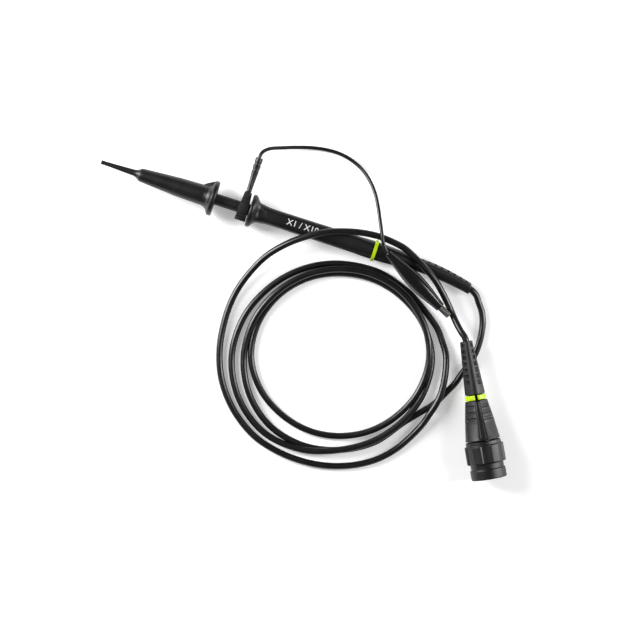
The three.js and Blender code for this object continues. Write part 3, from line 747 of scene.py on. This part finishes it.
RELIEF_START = 157.3
RELIEF_END = 186.0
RELIEF_BEND = 3.4


def relief_path_place(points):
    """The relief is curved aside: the shift grows with the square of the way along it."""
    points = np.array(points, float)
    along = np.clip((points[..., 0] - RELIEF_START) / (RELIEF_END - RELIEF_START), 0, None)
    points[..., 1] -= RELIEF_BEND * along**2
    return PROBE(points)


def cord_curve(name, path, diameter, material):
    """One open curve with a round bevel and closed ends."""
    data = bpy.data.curves.new(name, "CURVE")
    data.dimensions = "3D"
    data.bevel_depth = diameter / 2
    data.bevel_resolution = 5
    data.use_fill_caps = True
    spline = data.splines.new("POLY")
    spline.points.add(len(path) - 1)
    flat = np.column_stack([path, np.ones(len(path))]).ravel()
    spline.points.foreach_set("co", flat)
    spline.use_smooth = True
    item = bpy.data.objects.new(name, data)
    bpy.context.scene.collection.objects.link(item)
    dress(item, material)
    return item


relief_run = relief_path_place(np.array([[174.0, 0, 0], [180.0, 0, 0], [185.5, 0, 0]]))
plug_run = BNC(np.array([[3.0, 0, 0], [9.0, 0, 0], [16.0, 0, 0], [23.0, 0, 0], [30.0, 0, 0]]))
cable_route = np.vstack([relief_run, LEAD_OUT_ROUTE, coil_turns(), OUTER_LOOP_ROUTE, plug_run])
cable_path, cable_length = even_path(cable_route, 0.0012)
cable_path[:, 2] = np.maximum(cable_path[:, 2], CABLE_DIAMETER / 2 + 0.00002)
cable = cord_curve("coax_cable", cable_path, CABLE_DIAMETER, PVC)
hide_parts("cable_lead_out", "cable_coil", "cable_outer_loop")
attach(cable, ROOT)
print("cable length, mm", round(cable_length / MM, 1))

boot_run = PROBE(np.array([[71.0, 20.5, 0], [71.0, 23.5, 0]]))
clip_run = CLIP(np.array([[1.5, 0, 0], [5.0, 0, 0]]))
wire_path, wire_length = even_path(np.vstack([boot_run, WIRE_ROUTE, clip_run]), 0.0009)
wire = piece(
    "ground_lead_wire",
    [loft(tube_rings(wire_path, WIRE_DIAMETER / 2, 20))],
    PVC,
    body=None,
    replaces=["ground_wire"],
)
print("ground wire length, mm", round(wire_length / MM, 1))


# ---------------------------------------------------------------- spring-hook tip


def sleeve_section(station, angle, radius):
    """Round, but the nozzle is slightly squared: two flats are planed along its top and bottom."""
    squared = squircle(angle, 3.2) * 0.93
    nozzle = 1 - np.clip((station - 14.5) / 3.5, 0, 1)
    return radius * (1 + nozzle * (squared - 1))


def hook_sleeve():
    """Nozzle, curved shoulder, cone, barrel and concave flare up to the finger flange."""
    outer = [
        [0, 1.02], [0.9, 1.12], [1.6, 1.02], [16.3, 1.62], [17.6, 1.86], [18.6, 2.45], [19.4, 3.1],
        [20.6, 3.3], [38.5, 4.6], [51, 4.95], [52.6, 5.35], [53.8, 6.3], [54.5, 7.7], [54.9, 8.35],
        [55.3, 8.5], [56.5, 8.5], [57, 8.1],
    ]
    bore = [[57, 3.7], [36.5, 3.7], [36.5, 2.9], [21, 2.9], [21, 1.1], [17.3, 0.95], [0, 0.75]]
    outline = rounded_loop(outer + bore, 0.35, 5)
    skin = revolve(PROBE, outline, 96, loop=True, shape=sleeve_section)
    return [skin, gusset_rib(), *flange_ring()]


def gusset_rib():
    """A thin triangular web between the barrel and the flange, on the side away from the coil."""
    bottom = np.linspace(49.6, 55.6, 16)
    top = 4.75 + 3.6 * np.clip((bottom - 49.6) / 5.6, 0, 1) ** 0.8
    rings = []
    for x, y in zip(bottom, top):
        rim = [(3.9, -0.75), (y - 0.12, -0.75), (y, -0.6), (y, 0.6), (y - 0.12, 0.75), (3.9, 0.75)]
        rings.append([[x, y_, z_] for y_, z_ in rim])
    return loft(PROBE(np.array(rings)), caps="fan")


def flange_ring():
    """A raised bead round the flange's rim, which catches a thin line of light."""
    bead = rounded_loop([[55.2, 8.2], [55.2, 8.55], [55.55, 8.55], [55.55, 8.2]], 0.1)
    return [revolve(PROBE, bead, 96, loop=True)]


def hook_wire_shape():
    """A straight shaft that turns back on itself in a half circle at the nozzle's mouth."""
    bend = np.linspace(0, math.pi, 16)
    half = np.column_stack([1.0 - 0.32 * np.sin(bend), -0.25 + 0.32 * (1 - np.cos(bend)), 0 * bend])
    shaft = [[x, -0.25, 0] for x in (28.4, 20, 10, 3)]
    path = np.vstack([shaft, half, [[2.6, 0.39, 0]]])
    fine = np.vstack([path[:4], catmull(path[4:], 2)])
    return [loft(tube_rings(PROBE(fine), 0.25 * MM, 14))]


def spring_shape():
    """A helix of round wire with closed end turns."""
    t = np.linspace(0, 1, 360)
    turns = 9
    angle = t * TURN * turns
    ease = np.clip((t - 0.09) / 0.82, 0, 1)
    path = np.column_stack([21.7 + 11.8 * ease, 2.3 * np.cos(angle), 2.3 * np.sin(angle)])
    return [loft(tube_rings(PROBE(path), 0.2 * MM, 8, PROBE.along))]


piece("hook_sleeve_moulding", hook_sleeve(), ABS, "hook_sleeve_body", ["hook_sleeve"])
piece("hook_wire_formed", hook_wire_shape(), STEEL, "hook_carrier", ["hook_wire"])
spring = piece("hook_spring_coiled", spring_shape(), STEEL, "hook_carrier", ["hook_spring"])
tuple(PROBE([33.6, 0, 0]))
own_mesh(spring)


# ---------------------------------------------------------------- probe body

BODY_POWER = 2.9
BODY_SQUARE = 0.965
SLOT_START = 100
SLOT_END = 108
SLOT_HALF_WIDTH = 1.5
SLOT_FLOOR = 3.45


def handle_section(station, angle, radius):
    """Rounded square in the middle of the body, round at the flange, the marker groove and the end,
    with a flat-bottomed pocket underneath for the switch's slider."""
    grow = np.clip((station - 75.6) / 7, 0, 1) * np.clip((134 - station) / 8, 0, 1)
    squared = squircle(angle, BODY_POWER) * BODY_SQUARE
    saddle = 0.16 * bell(station - 78.2, 1.5) * bell(folded(angle, 4, math.pi / 2), 0.5)
    sideways = band(radius * np.cos(angle), -SLOT_HALF_WIDTH, SLOT_HALF_WIDTH, 0.08) * (np.sin(angle) < 0)
    slot = sideways * band(station, SLOT_START, SLOT_END, 0.08) * (radius > SLOT_FLOOR)
    return np.where(slot > 0.5, SLOT_FLOOR, radius * (1 + grow * (squared - 1)) * (1 - saddle))


def handle_shell():
    """Flange, concave flare, long body, marker groove and rear taper, with a bore that opens at both ends."""
    outer = [
        [73.9, 7.2], [74.1, 7.75], [74.6, 8], [75.5, 7.95], [76.3, 7.5], [77.3, 6.5], [78.6, 5.55],
        [80.2, 4.85], [82.4, 4.4], [85, 4.25], [90, 4.22], [99.85, 4.28], [SLOT_START, 4.281],
        [SLOT_START + 0.15, 4.282], [SLOT_END - 0.15, 4.33], [SLOT_END, 4.331], [SLOT_END + 0.15, 4.332],
        [135.7, 4.5], [135.7, 4.15], [137.9, 4.15], [137.9, 4.45], [143, 4.3], [150, 3.85], [157, 3.25],
    ]
    bore = [[157, 2.7], [146, 2.7], [143, 3.3], [80.5, 3.3], [80.5, 3.1], [73.9, 3.1]]
    line = rounded_loop(outer + bore, 0.4, 5)
    return [revolve(PROBE, densify(line, 2.0), 112, loop=True, shape=handle_section)]


def densify(line, step):
    """Add points so that no gap along the outline is longer than step."""
    parts = [line[:1]]
    for a, b in zip(line, line[1:]):
        count = max(1, math.ceil(np.linalg.norm(b - a) / step))
        t = np.linspace(0, 1, count + 1)[1:, None]
        parts.append(a + (b - a) * t)
    return np.vstack(parts)


def marker_ring_probe():
    """The coding ring in its groove, with rounded rims."""
    line = rounded_loop([[136, 4.45], [136, 5.2], [137.6, 5.2], [137.6, 4.45]], 0.3, 5)
    return [revolve(PROBE, line, 96, loop=True)]


def front_barrel():
    """The thin black neck that carries the ground ring."""
    line = rounded_loop([[56.6, 2.3], [56.6, 2.75], [79, 2.8], [79, 2.3]], 0.12)
    return [revolve(PROBE, line, 72, loop=True)]


def probe_relief_section(station, angle, radius):
    """A rounded square rolled 20 degrees; a row of narrow slots is let into two opposite faces."""
    roll = math.radians(20)
    pitch = 3.3
    along = station - 158.6
    slot = band(along % pitch, 1.05, 2.25, 0.16) * band(along, 0, 26.4, 0.2)
    near = band(np.abs(folded(angle, 2, roll)) * radius, -1, 1.35, 0.14)
    squared = squircle(angle, 2.7, roll) * 0.985
    return radius * squared - 0.95 * slot * near


def probe_strain_relief():
    """The slotted sleeve, curved aside, with a plug-in front end."""
    stations = samples(RELIEF_START, RELIEF_END - 0.35, 0.11)
    base = np.interp(stations, [157.3, 165, 172, 179, 186], [3.25, 3.2, 3.05, 2.85, 2.65])
    body = np.column_stack([stations, base])
    front = [[151, 1.8], [151, 2.4], [157.2, 2.4], [157.25, 3.1]]
    end = [[185.85, 2.5], [186, 2.3], [186, 1.75]]
    outline = np.vstack([front, body, end])
    return [revolve(relief_path_place, outline, 120, shape=probe_relief_section)]


piece("handle_shell_moulding", handle_shell(), ABS, ROOT, ["handle_shell"])
piece("marker_ring_on_probe", marker_ring_probe(), MARKER, ROOT, ["marker_ring_probe"])
piece("front_barrel_moulding", front_barrel(), DEEP_ABS, ROOT, ["front_barrel"])
piece("probe_strain_relief_slotted", probe_strain_relief(), TPE, ROOT, ["probe_strain_relief"])


def print_on_body(text, start, height, offset):
    """Pad print: flat lettering laid on the body's top, each point raised to the skin's height there."""
    data = bpy.data.curves.new("print", "FONT")
    data.body = text
    data.size = height * 1.4
    data.resolution_u = 3
    source = bpy.data.objects.new("print", data)
    bpy.context.scene.collection.objects.link(source)
    bpy.context.view_layer.update()
    flat = bpy.data.meshes.new_from_object(source)
    bpy.data.objects.remove(source)
    shape = bmesh.new()
    shape.from_mesh(flat)
    bmesh.ops.triangulate(shape, faces=shape.faces)
    bmesh.ops.subdivide_edges(shape, edges=shape.edges, cuts=3, use_grid_fill=True)
    shape.to_mesh(flat)
    shape.free()
    item = bpy.data.objects.new("body_print", flat)
    bpy.context.scene.collection.objects.link(item)
    co = np.zeros(len(flat.vertices) * 3)
    flat.vertices.foreach_get("co", co)
    co = co.reshape(-1, 3)
    station, aside = start + co[:, 0], co[:, 1] + offset
    half = np.interp(station, [82, 90, 135.7], [4.25, 4.22, 4.5]) * BODY_SQUARE
    rise = half * (1 - np.abs(aside / half) ** BODY_POWER) ** (1 / BODY_POWER) + 0.05
    placed = PROBE(np.column_stack([station, aside, rise]))
    flat.vertices.foreach_set("co", placed.ravel())
    flat.update()
    flat.materials.clear()
    solid = item.modifiers.new("ink_thickness", "SOLIDIFY")
    solid.thickness = 0.02 * MM
    dress(item, INK)
    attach(item, ROOT)
    return item


print_on_body("X1 / X10", 92.6, 3.0, -1.15)


# ---------------------------------------------------------------- ground lead


def ground_collar():
    """A C-shaped clip round the neck, thick at its back, with a lug one way and two lips the other."""
    half_mouth = 0.36
    angle = np.linspace(-math.pi + half_mouth, math.pi - half_mouth, 90)
    outer_r = 5.0 - 0.25 * np.cos(4 * angle)
    outer = np.column_stack([outer_r * np.cos(angle), outer_r * np.sin(angle)])
    inner = np.column_stack([3.65 * np.cos(angle), 3.65 * np.sin(angle)])[::-1]
    ring = np.vstack([outer, inner])
    rings = []
    for x, inset in ((68.5, 0.25), (68.56, 0.1), (68.75, 0), (73.25, 0), (73.44, 0.1), (73.5, 0.25)):
        middle = ring / np.linalg.norm(ring, axis=1)[:, None] * 4.35
        pulled = ring + (middle - ring) * inset
        rings.append(np.column_stack([np.full(len(ring), x), pulled]))
    hoop = loft(PROBE(collar_taper(np.array(rings))), caps="strip")
    lug = box_shell(lug_place, [3.9, 68.5, -1.75], [8, 73.5, 1.75], 0.3)
    lips = []
    for low, high in ((-2.4, -1.0), (1.0, 2.4)):
        lips.append(box_shell(PROBE, [68.35, -6.1, low], [73.65, -4.4, high], 0.25))
    return [hoop, lug, *lips]


def lug_place(points):
    """The lug is drawn sideways first, then along, and takes the collar's taper."""
    return PROBE(collar_taper(np.asarray(points)[..., [1, 0, 2]]))


def collar_taper(points):
    """The collar narrows along the probe's axis towards its lug."""
    points = np.array(points, float)
    share = np.interp(points[..., 1], [-5, -1, 8], [1.0, 0.98, 0.72])
    points[..., 0] = SWIVEL_STATION + (points[..., 0] - SWIVEL_STATION) * share
    return points


def boot_place(points):
    """Stations run sideways from the collar's middle."""
    across = Place(PROBE.origin, PROBE.side, PROBE.up)
    return across(np.asarray(points) - np.array([0.0, SWIVEL_STATION, 0.0]))


def ground_boot():
    """Slim cone from the lug, widening to a crimp barrel with three pressed rings at the wire's end."""
    outer = [
        [8.1, 0.9], [8.2, 1.3], [10, 1.32], [13, 1.42], [16, 1.62], [18.3, 1.86], [18.5, 1.7], [19.6, 1.7],
        [19.8, 1.92], [21.3, 1.95], [21.5, 1.72], [22.6, 1.72], [22.8, 1.95], [24.9, 1.92], [25.1, 1.7],
        [25.1, 0.8],
    ]
    return [revolve(boot_place, densify(rounded(outer, 0.15), 0.4), 72, shape=crimp_section)]


def crimp_section(station, angle, radius):
    """Slightly flattened by the crimping tool, with two pressed dimples near the end."""
    flat = 1 - 0.05 * np.cos(2 * angle) * np.clip((station - 12) / 6, 0, 1)
    upright = folded(angle, 2, math.pi / 2)
    dimple = 0.3 * band(station, 20.2, 21.0, 0.3) * bell(upright, 0.4)
    flute = 0.2 * band(station, 11, 18.2, 1.5) * bell(upright, 0.22)
    return radius * flat - dimple - flute


piece("ground_collar_moulding", ground_collar(), DEEP_ABS, "ground_swivel_body", ["ground_collar"])
boot = piece("ground_lead_crimp_boot", ground_boot(), CRIMP_BOOT, "ground_swivel_body", ["ground_lead_boot"])


# ---------------------------------------------------------------- alligator clip

BOOT_FRONT = 36


def boot_radius(station):
    """Slim tail, a swelling over the pivot, then a taper to the nose, with a rolled lip at each end."""
    base = np.interp(
        station,
        [0, 3, 7, 11, 15, 18.5, 22, 26, 30, 33, 36],
        [1.55, 1.9, 2.5, 3.2, 3.7, 3.88, 3.83, 3.5, 2.95, 2.5, 2.15],
    )
    lip = 0.12 * bell(station - 0.6, 0.5) + 0.1 * bell(station - 35.4, 0.5)
    return base + lip


def smooth_radius(stations):
    """The same radius averaged over a short window, so that the taper has no corners."""
    offsets = np.linspace(-1.6, 1.6, 9)
    spread_out = np.asarray(stations)[..., None] + offsets
    return boot_radius(np.clip(spread_out, 0.0, BOOT_FRONT)).mean(-1)


def boot_section(station, angle, radius):
    """Slightly wider than high, with a fine raised parting line along both sides."""
    oval = 1 + 0.05 * np.cos(2 * angle)
    seam = 0.05 * bell(folded(angle, 2, math.radians(28)) * radius, 0.32)
    return radius * oval + np.where(radius > smooth_radius(station) - 0.2, seam, 0)


def clip_boot():
    """A soft sleeve over the whole clip, open at the nose and round the wire."""
    stations = np.linspace(0, BOOT_FRONT, 100)
    radius = smooth_radius(stations)
    outer = np.column_stack([stations, radius])
    lips = [[BOOT_FRONT + 0.12, radius[-1] - 0.2], [BOOT_FRONT + 0.05, radius[-1] - 0.42]]
    bore = np.column_stack([stations, radius - 0.5])[::-1]
    return [revolve(CLIP, np.vstack([outer, lips, bore]), 128, loop=True, shape=boot_section)]


def teeth(start, end, count, low, high):
    """A zigzag edge: points that alternate between two heights."""
    marks = np.linspace(start, end, 2 * count + 1)
    return [[x, high if k % 2 else low] for k, x in enumerate(marks)]


def both_sides(outline, near, far):
    """The same plate on the left and on the right, between near and far from the middle."""
    return [plate(CLIP, outline, near, far), plate(CLIP, outline, -far, -near)]


def fixed_jaw():
    """Stamped channel: floor, two toothed walls with ears for the pin, and a crimp round the wire."""
    walls = [
        [41.6, -0.98], [42, -0.75], *teeth(42, 27, 9, -0.45, -0.12), [27, -0.3], [22.2, 1], [19.9, 1],
        [17.5, -0.9], [10, -1.1], [10, -1.9], [26, -1.9],
    ]
    floor = [[10, -1.9], [26, -1.9], [41.6, -1.08], [42, -0.8], [41.6, -0.7], [26, -1.45], [10, -1.45]]
    crimp = rounded_loop([[6, 1.0], [6, 1.25], [11, 1.25], [11, 1.0]], 0.1)
    return [
        *both_sides(walls, 0.75, 1.1),
        plate(CLIP, floor, -1, 1),
        revolve(crimp_place, crimp, 40, loop=True),
    ]


def crimp_place(points):
    """The crimp ring sits a little below the clip's axis."""
    return CLIP(np.asarray(points) - np.array([0, 0, 0.45]))


def moving_jaw():
    """The upper channel: roof, walls outside the fixed ears, a toothed nose and a lever to squeeze."""
    walls = [
        [28.2, 1.95], [25, 2.1], [14.5, 2.1], [14.5, 1.6], [18.8, 1.5], [19.6, -0.8], [22.4, -0.8], [25, 0.6],
        [28.2, 0.7],
    ]
    roof = [[14.5, 2.1], [25, 2.1], [28.2, 1.95], [28.2, 1.5], [25, 1.65], [14.5, 1.65]]
    nose = [[27, 1.9], [27, 0.35], *teeth(27, 42, 9, 0.35, 0.02), [42, 0.75], [41.6, 0.98], [28.2, 1.8]]
    nose_roof = [[27, 1.9], [28.2, 1.8], [41.6, 1.08], [42, 0.8], [41.6, 0.7], [27, 1.5]]
    return [
        *both_sides(walls, 1.35, 1.7),
        plate(CLIP, roof, -1.6, 1.6),
        *both_sides(nose, 0.75, 1.1),
        plate(CLIP, nose_roof, -1, 1),
    ]


clip_boot_piece = piece("clip_boot_dipped", clip_boot(), DIPPED, None, ["clip_boot", "clip_boot_flap"])
jaw_low = piece("clip_fixed_jaw_stamped", fixed_jaw(), NICKEL, ROOT, ["clip_fixed_jaw"])
jaw_high = piece("clip_moving_jaw_stamped", moving_jaw(), NICKEL, "clip_jaw_body", ["clip_moving_jaw"])

# A hinge point at the boot's front lower lip and a lift direction are worked out here but not used; the
# boot's placement is baked into its points, and it does not follow the moving jaw.
boot_hinge = np.array([BOOT_FRONT, 0, -2.3])
boot_lift = 4.4 * unit([6.2, 0, 18])
tuple(CLIP(boot_hinge))
tuple(CLIP(boot_hinge + boot_lift))
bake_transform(clip_boot_piece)


# ---------------------------------------------------------------- BNC end


def bnc_relief_section(station, angle, radius):
    """A rounded square with a corner upwards; windows are let into its four faces, seven in a row."""
    squared = squircle(angle, 2.75, math.pi / 4) * 0.985
    pitch = 2.95
    along = station - 1.0
    size = 0.85 + 0.016 * station
    rows = band(along % pitch, 0.3, 0.3 + 1.9 * size / 1.2, 0.12) * band(along, 0, 7 * pitch + 0.1, 0.2)
    face = band(np.abs(folded(angle, 4, math.pi / 4)) * radius, -1, size, 0.12)
    return radius * squared - (0.7 + 0.03 * station) * rows * face


def bnc_strain_relief():
    """The windowed sleeve, flaring towards the plug, with a plug-in front end."""
    stations = samples(0.35, 25.4, 0.11)
    base = np.interp(stations, [0, 23, 25.7], [2.72, 4.32, 4.45])
    body = np.column_stack([stations, base])
    end = [[25.6, 4.35], [25.7, 4.1], [25.72, 3.0], [30.4, 3.0], [30.5, 2.0]]
    outline = np.vstack([[[0, 1.7], [0, 2.3], [0.15, 2.6]], body, end])
    return [revolve(BNC, outline, 144, shape=bnc_relief_section)]


def marker_ring_bnc():
    """A split ring, its gap on top and to the right of the middle."""
    start, end = math.radians(98), math.radians(98 + 342)
    angle = np.linspace(start, end, 110)
    section = rounded_loop([[26, 3.3], [26, 5.1], [28.3, 5.1], [28.3, 3.3]], 0.35, 5)
    station, radius = section[:, 0], section[:, 1]
    rings = [np.column_stack([station, radius * math.cos(a), radius * math.sin(a)]) for a in angle]
    return [loft(BNC(np.array(rings)))]


def comp_box_section(station, angle, radius):
    """Rounded square where the ribs are, turning round at the wide end; three grooves are pressed into
    each face and a shallow channel runs along the top and the bottom."""
    blend = np.clip((station - 38) / 8, 0, 1)
    squared = squircle(angle, 2.9, math.pi / 4) * 0.985
    shape = squared + (1 - squared) * blend
    along = station - 30.2
    grooves = band(along % 2.95, 0.5, 1.75, 0.2) * band(along, 0, 8.9, 0.2)
    face = band(np.abs(folded(angle, 4, math.pi / 4)) * radius, -1, 2.0 + 0.12 * (station - 28.6), 0.25)
    width = np.interp(station, [28.6, 47.5], [0.75, 1.5])
    across = folded(angle, 2, math.pi / 2) * radius / width
    channel = np.exp(-(across**4)) * band(station, 28.9, 46.8, 0.8)
    return radius * shape - 0.75 * grooves * face - 0.5 * channel


TRIMMER_STATION = 37.5
TRIMMER_HOLE = 2.4


def comp_box():
    """The box: outer skin, rear lip and skirt, and a stepped bore."""
    stations = samples(28.75, 47.25, 0.12)
    base = np.interp(stations, [28.6, 39.5, 47.5], [4.85, 6.6, 8.38])
    outer = np.column_stack([stations, base])
    outline = np.vstack([
        [[28.6, 3.3], [28.6, 4.5]], outer, [[47.42, 8.28], [47.5, 8.0], [47.5, 4.75], [48.6, 4.75]],
        [[48.6, 4.3], [46.9, 4.3], [46.9, 6.4]], [[42, 6.4], [39.5, 5.4], [31.2, 3.8], [31.2, 3.3]],
    ])
    return [revolve(trimmer_hole_place, densify_loop(outline, 0.3), 200, loop=True, shape=box_inner_guard)]


def trimmer_hole_place(points):
    """Points of the wall inside the hole's circle move straight inwards and make a round cup."""
    points = np.array(points, float)
    x, y, z = points[..., 0], points[..., 1], points[..., 2]
    radius = np.hypot(y, z)
    outside = radius > np.interp(x, [28.6, 39.5, 47.5], [4.2, 5.9, 7.6])
    floor = np.where(outside, -2.86, -2.68)
    reach = np.where(outside, TRIMMER_HOLE, TRIMMER_HOLE + 0.35)
    inside = (np.hypot(x - TRIMMER_STATION, y) < reach) & (z < floor)
    points[..., 2] = np.where(inside, floor, z)
    return BNC(points)


def densify_loop(outline, step):
    """densify for a closed outline: its last gap is filled too."""
    return densify(np.vstack([outline, outline[:1]]), step)[:-1]


def box_inner_guard(station, angle, radius):
    """Only the outside takes the grooves: the bore stays as it is."""
    outside = radius > np.interp(station, [28.6, 39.5, 47.5], [4.2, 5.9, 7.6])
    return np.where(outside, comp_box_section(station, angle, radius), radius)


def grip_section(station, angle, radius):
    """Six raised pads with gaps between them on the wide band, and fine edges at both ends."""
    gap = band(np.abs(folded(angle, 6, math.pi / 2)), -1, 0.24, 0.12)
    pads = band(station, 49.9, 58.9, 0.3)
    inside = radius > 8.6
    return np.where(inside, radius - 0.75 * gap * pads, radius)


def bnc_grip():
    """A ribbed band with six pads, a waist and a plain end ring, bored for the coupling nut."""
    outer = [
        [48, 7.9], [48.2, 8.4], [49.8, 8.45], [50.1, 9.25], [50.5, 9.3], [58.2, 9.3], [58.6, 9.15],
        [58.75, 7.95], [61.4, 7.9], [61.5, 8.4], [61.8, 8.5], [65.9, 8.5], [66.2, 8.25],
    ]
    bore = [[66.2, 7.1], [50, 7.1], [50, 5], [48, 5]]
    line = rounded_loop(outer + bore, 0.18, 4)
    return [revolve(BNC, densify_loop(line, 0.8), 240, loop=True, shape=grip_section)]


def coupling_sleeve():
    """The nut's bore with two spiral bayonet grooves that open at the front."""
    outer = [[50.3, 6.8], [65.5, 6.8]]
    bore = [[65.5, 4.95], [51.3, 4.95], [51.3, 4.3], [50.3, 4.3]]
    line = rounded_loop(outer + bore, 0.2, 4)
    return [revolve(BNC, densify_loop(line, 0.25), 200, loop=True, shape=bayonet_grooves)]


def bayonet_grooves(station, angle, radius):
    """The groove's middle turns 80 degrees as it runs 5 mm in from the front edge."""
    depth_in = np.clip((65.6 - station) / 5.2, 0, 1)
    middle = depth_in * math.radians(80)
    off = folded(angle - middle, 2)
    groove = band(np.abs(off) * radius, -1, 1.05, 0.2) * band(station, 59.6, 66, 0.3)
    return np.where(np.abs(radius - 4.95) < 0.12, radius + 1.1 * groove, radius)


def inner_shell():
    """The plug's fixed barrel: flange in the box, groove for the ring, shoulder and thin nose."""
    outer = [
        [43, 6.1], [46.6, 6.1], [46.6, 4], [49, 4], [49, 3.45], [50, 3.45], [50, 4], [53.4, 4],
        [53.4, 4.7], [54, 4.7], [54, 4], [64.3, 4], [64.5, 3.85],
    ]
    bore = [[64.5, 3.6], [64.3, 3.5], [55, 3.5], [55, 2.6], [46, 2.6], [46, 1.4], [43, 1.4]]
    return [revolve(BNC, rounded_loop(outer + bore, 0.12, 3), 96, loop=True)]


def insulator():
    """A turned sleeve round the pin with a wider front."""
    outer = [[46.4, 2.3], [55.3, 2.3], [55.3, 3.2], [58.5, 3.2]]
    bore = [[58.5, 1], [46.4, 1]]
    return [revolve(BNC, rounded_loop(outer + bore, 0.15, 3), 72, loop=True)]


def centre_pin():
    """A straight pin with a rounded tip."""
    outline = [[43.2, 0.68], [61.4, 0.68], [62.4, 0.55], [62.9, 0.3]]
    return [revolve(BNC, rounded(outline, 0.2), 48)]


bnc_relief = piece("bnc_strain_relief_windowed", bnc_strain_relief(), TPE, ROOT, ["bnc_strain_relief"])
bnc_marker = piece("marker_ring_on_plug", marker_ring_bnc(), MARKER, ROOT, ["marker_ring_bnc"])
bnc_box = piece("compensation_box_moulding", comp_box(), ABS, ROOT, ["comp_box_shell"])
bnc_grip_piece = piece("coupling_grip_moulding", bnc_grip(), ABS, "bnc_coupling", ["bnc_grip"])
bnc_nut = piece("coupling_nut_plated", coupling_sleeve(), NICKEL, "bnc_coupling", ["bnc_coupling_sleeve"])
bnc_inner = piece("plug_shell_plated", inner_shell(), NICKEL, ROOT, ["bnc_inner_shell"])
bnc_ptfe = piece("plug_insulator_turned", insulator(), PTFE, ROOT, ["bnc_insulator"])
bnc_pin = piece("plug_pin_plated", centre_pin(), GOLD, ROOT, ["bnc_centre_pin"])


# ---------------------------------------------------------------- CAD nodes that stay

KEPT = {
    "hook_core": ABS,
    "hook_contact_socket": GOLD,
    "probe_needle": GOLD,
    "tip_insulator": PTFE,
    "ground_ring": NICKEL,
    "attenuator_board": LAMINATE,
    "input_resistor": CERAMIC,
    "compensation_capacitor": CERAMIC,
    "switch_housing": DEEP_ABS,
    "switch_slider": DEEP_ABS,
    "cable_ferrule": NICKEL,
    "ground_collar_contact": NICKEL,
    "clip_pivot_pin": STEEL,
    "clip_spring": STEEL,
    "comp_board": LAMINATE,
    "trimmer_body": CERAMIC,
    "trimmer_rotor": NICKEL,
    "bnc_gasket": SILICONE,
    "bnc_wave_washer": STEEL,
    "bnc_thrust_washer": NICKEL,
    "bnc_retaining_ring": STEEL,
}
for name, material in KEPT.items():
    NODES[name].data.materials.clear()
    NODES[name].data.materials.append(material)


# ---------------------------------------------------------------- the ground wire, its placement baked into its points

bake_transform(wire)
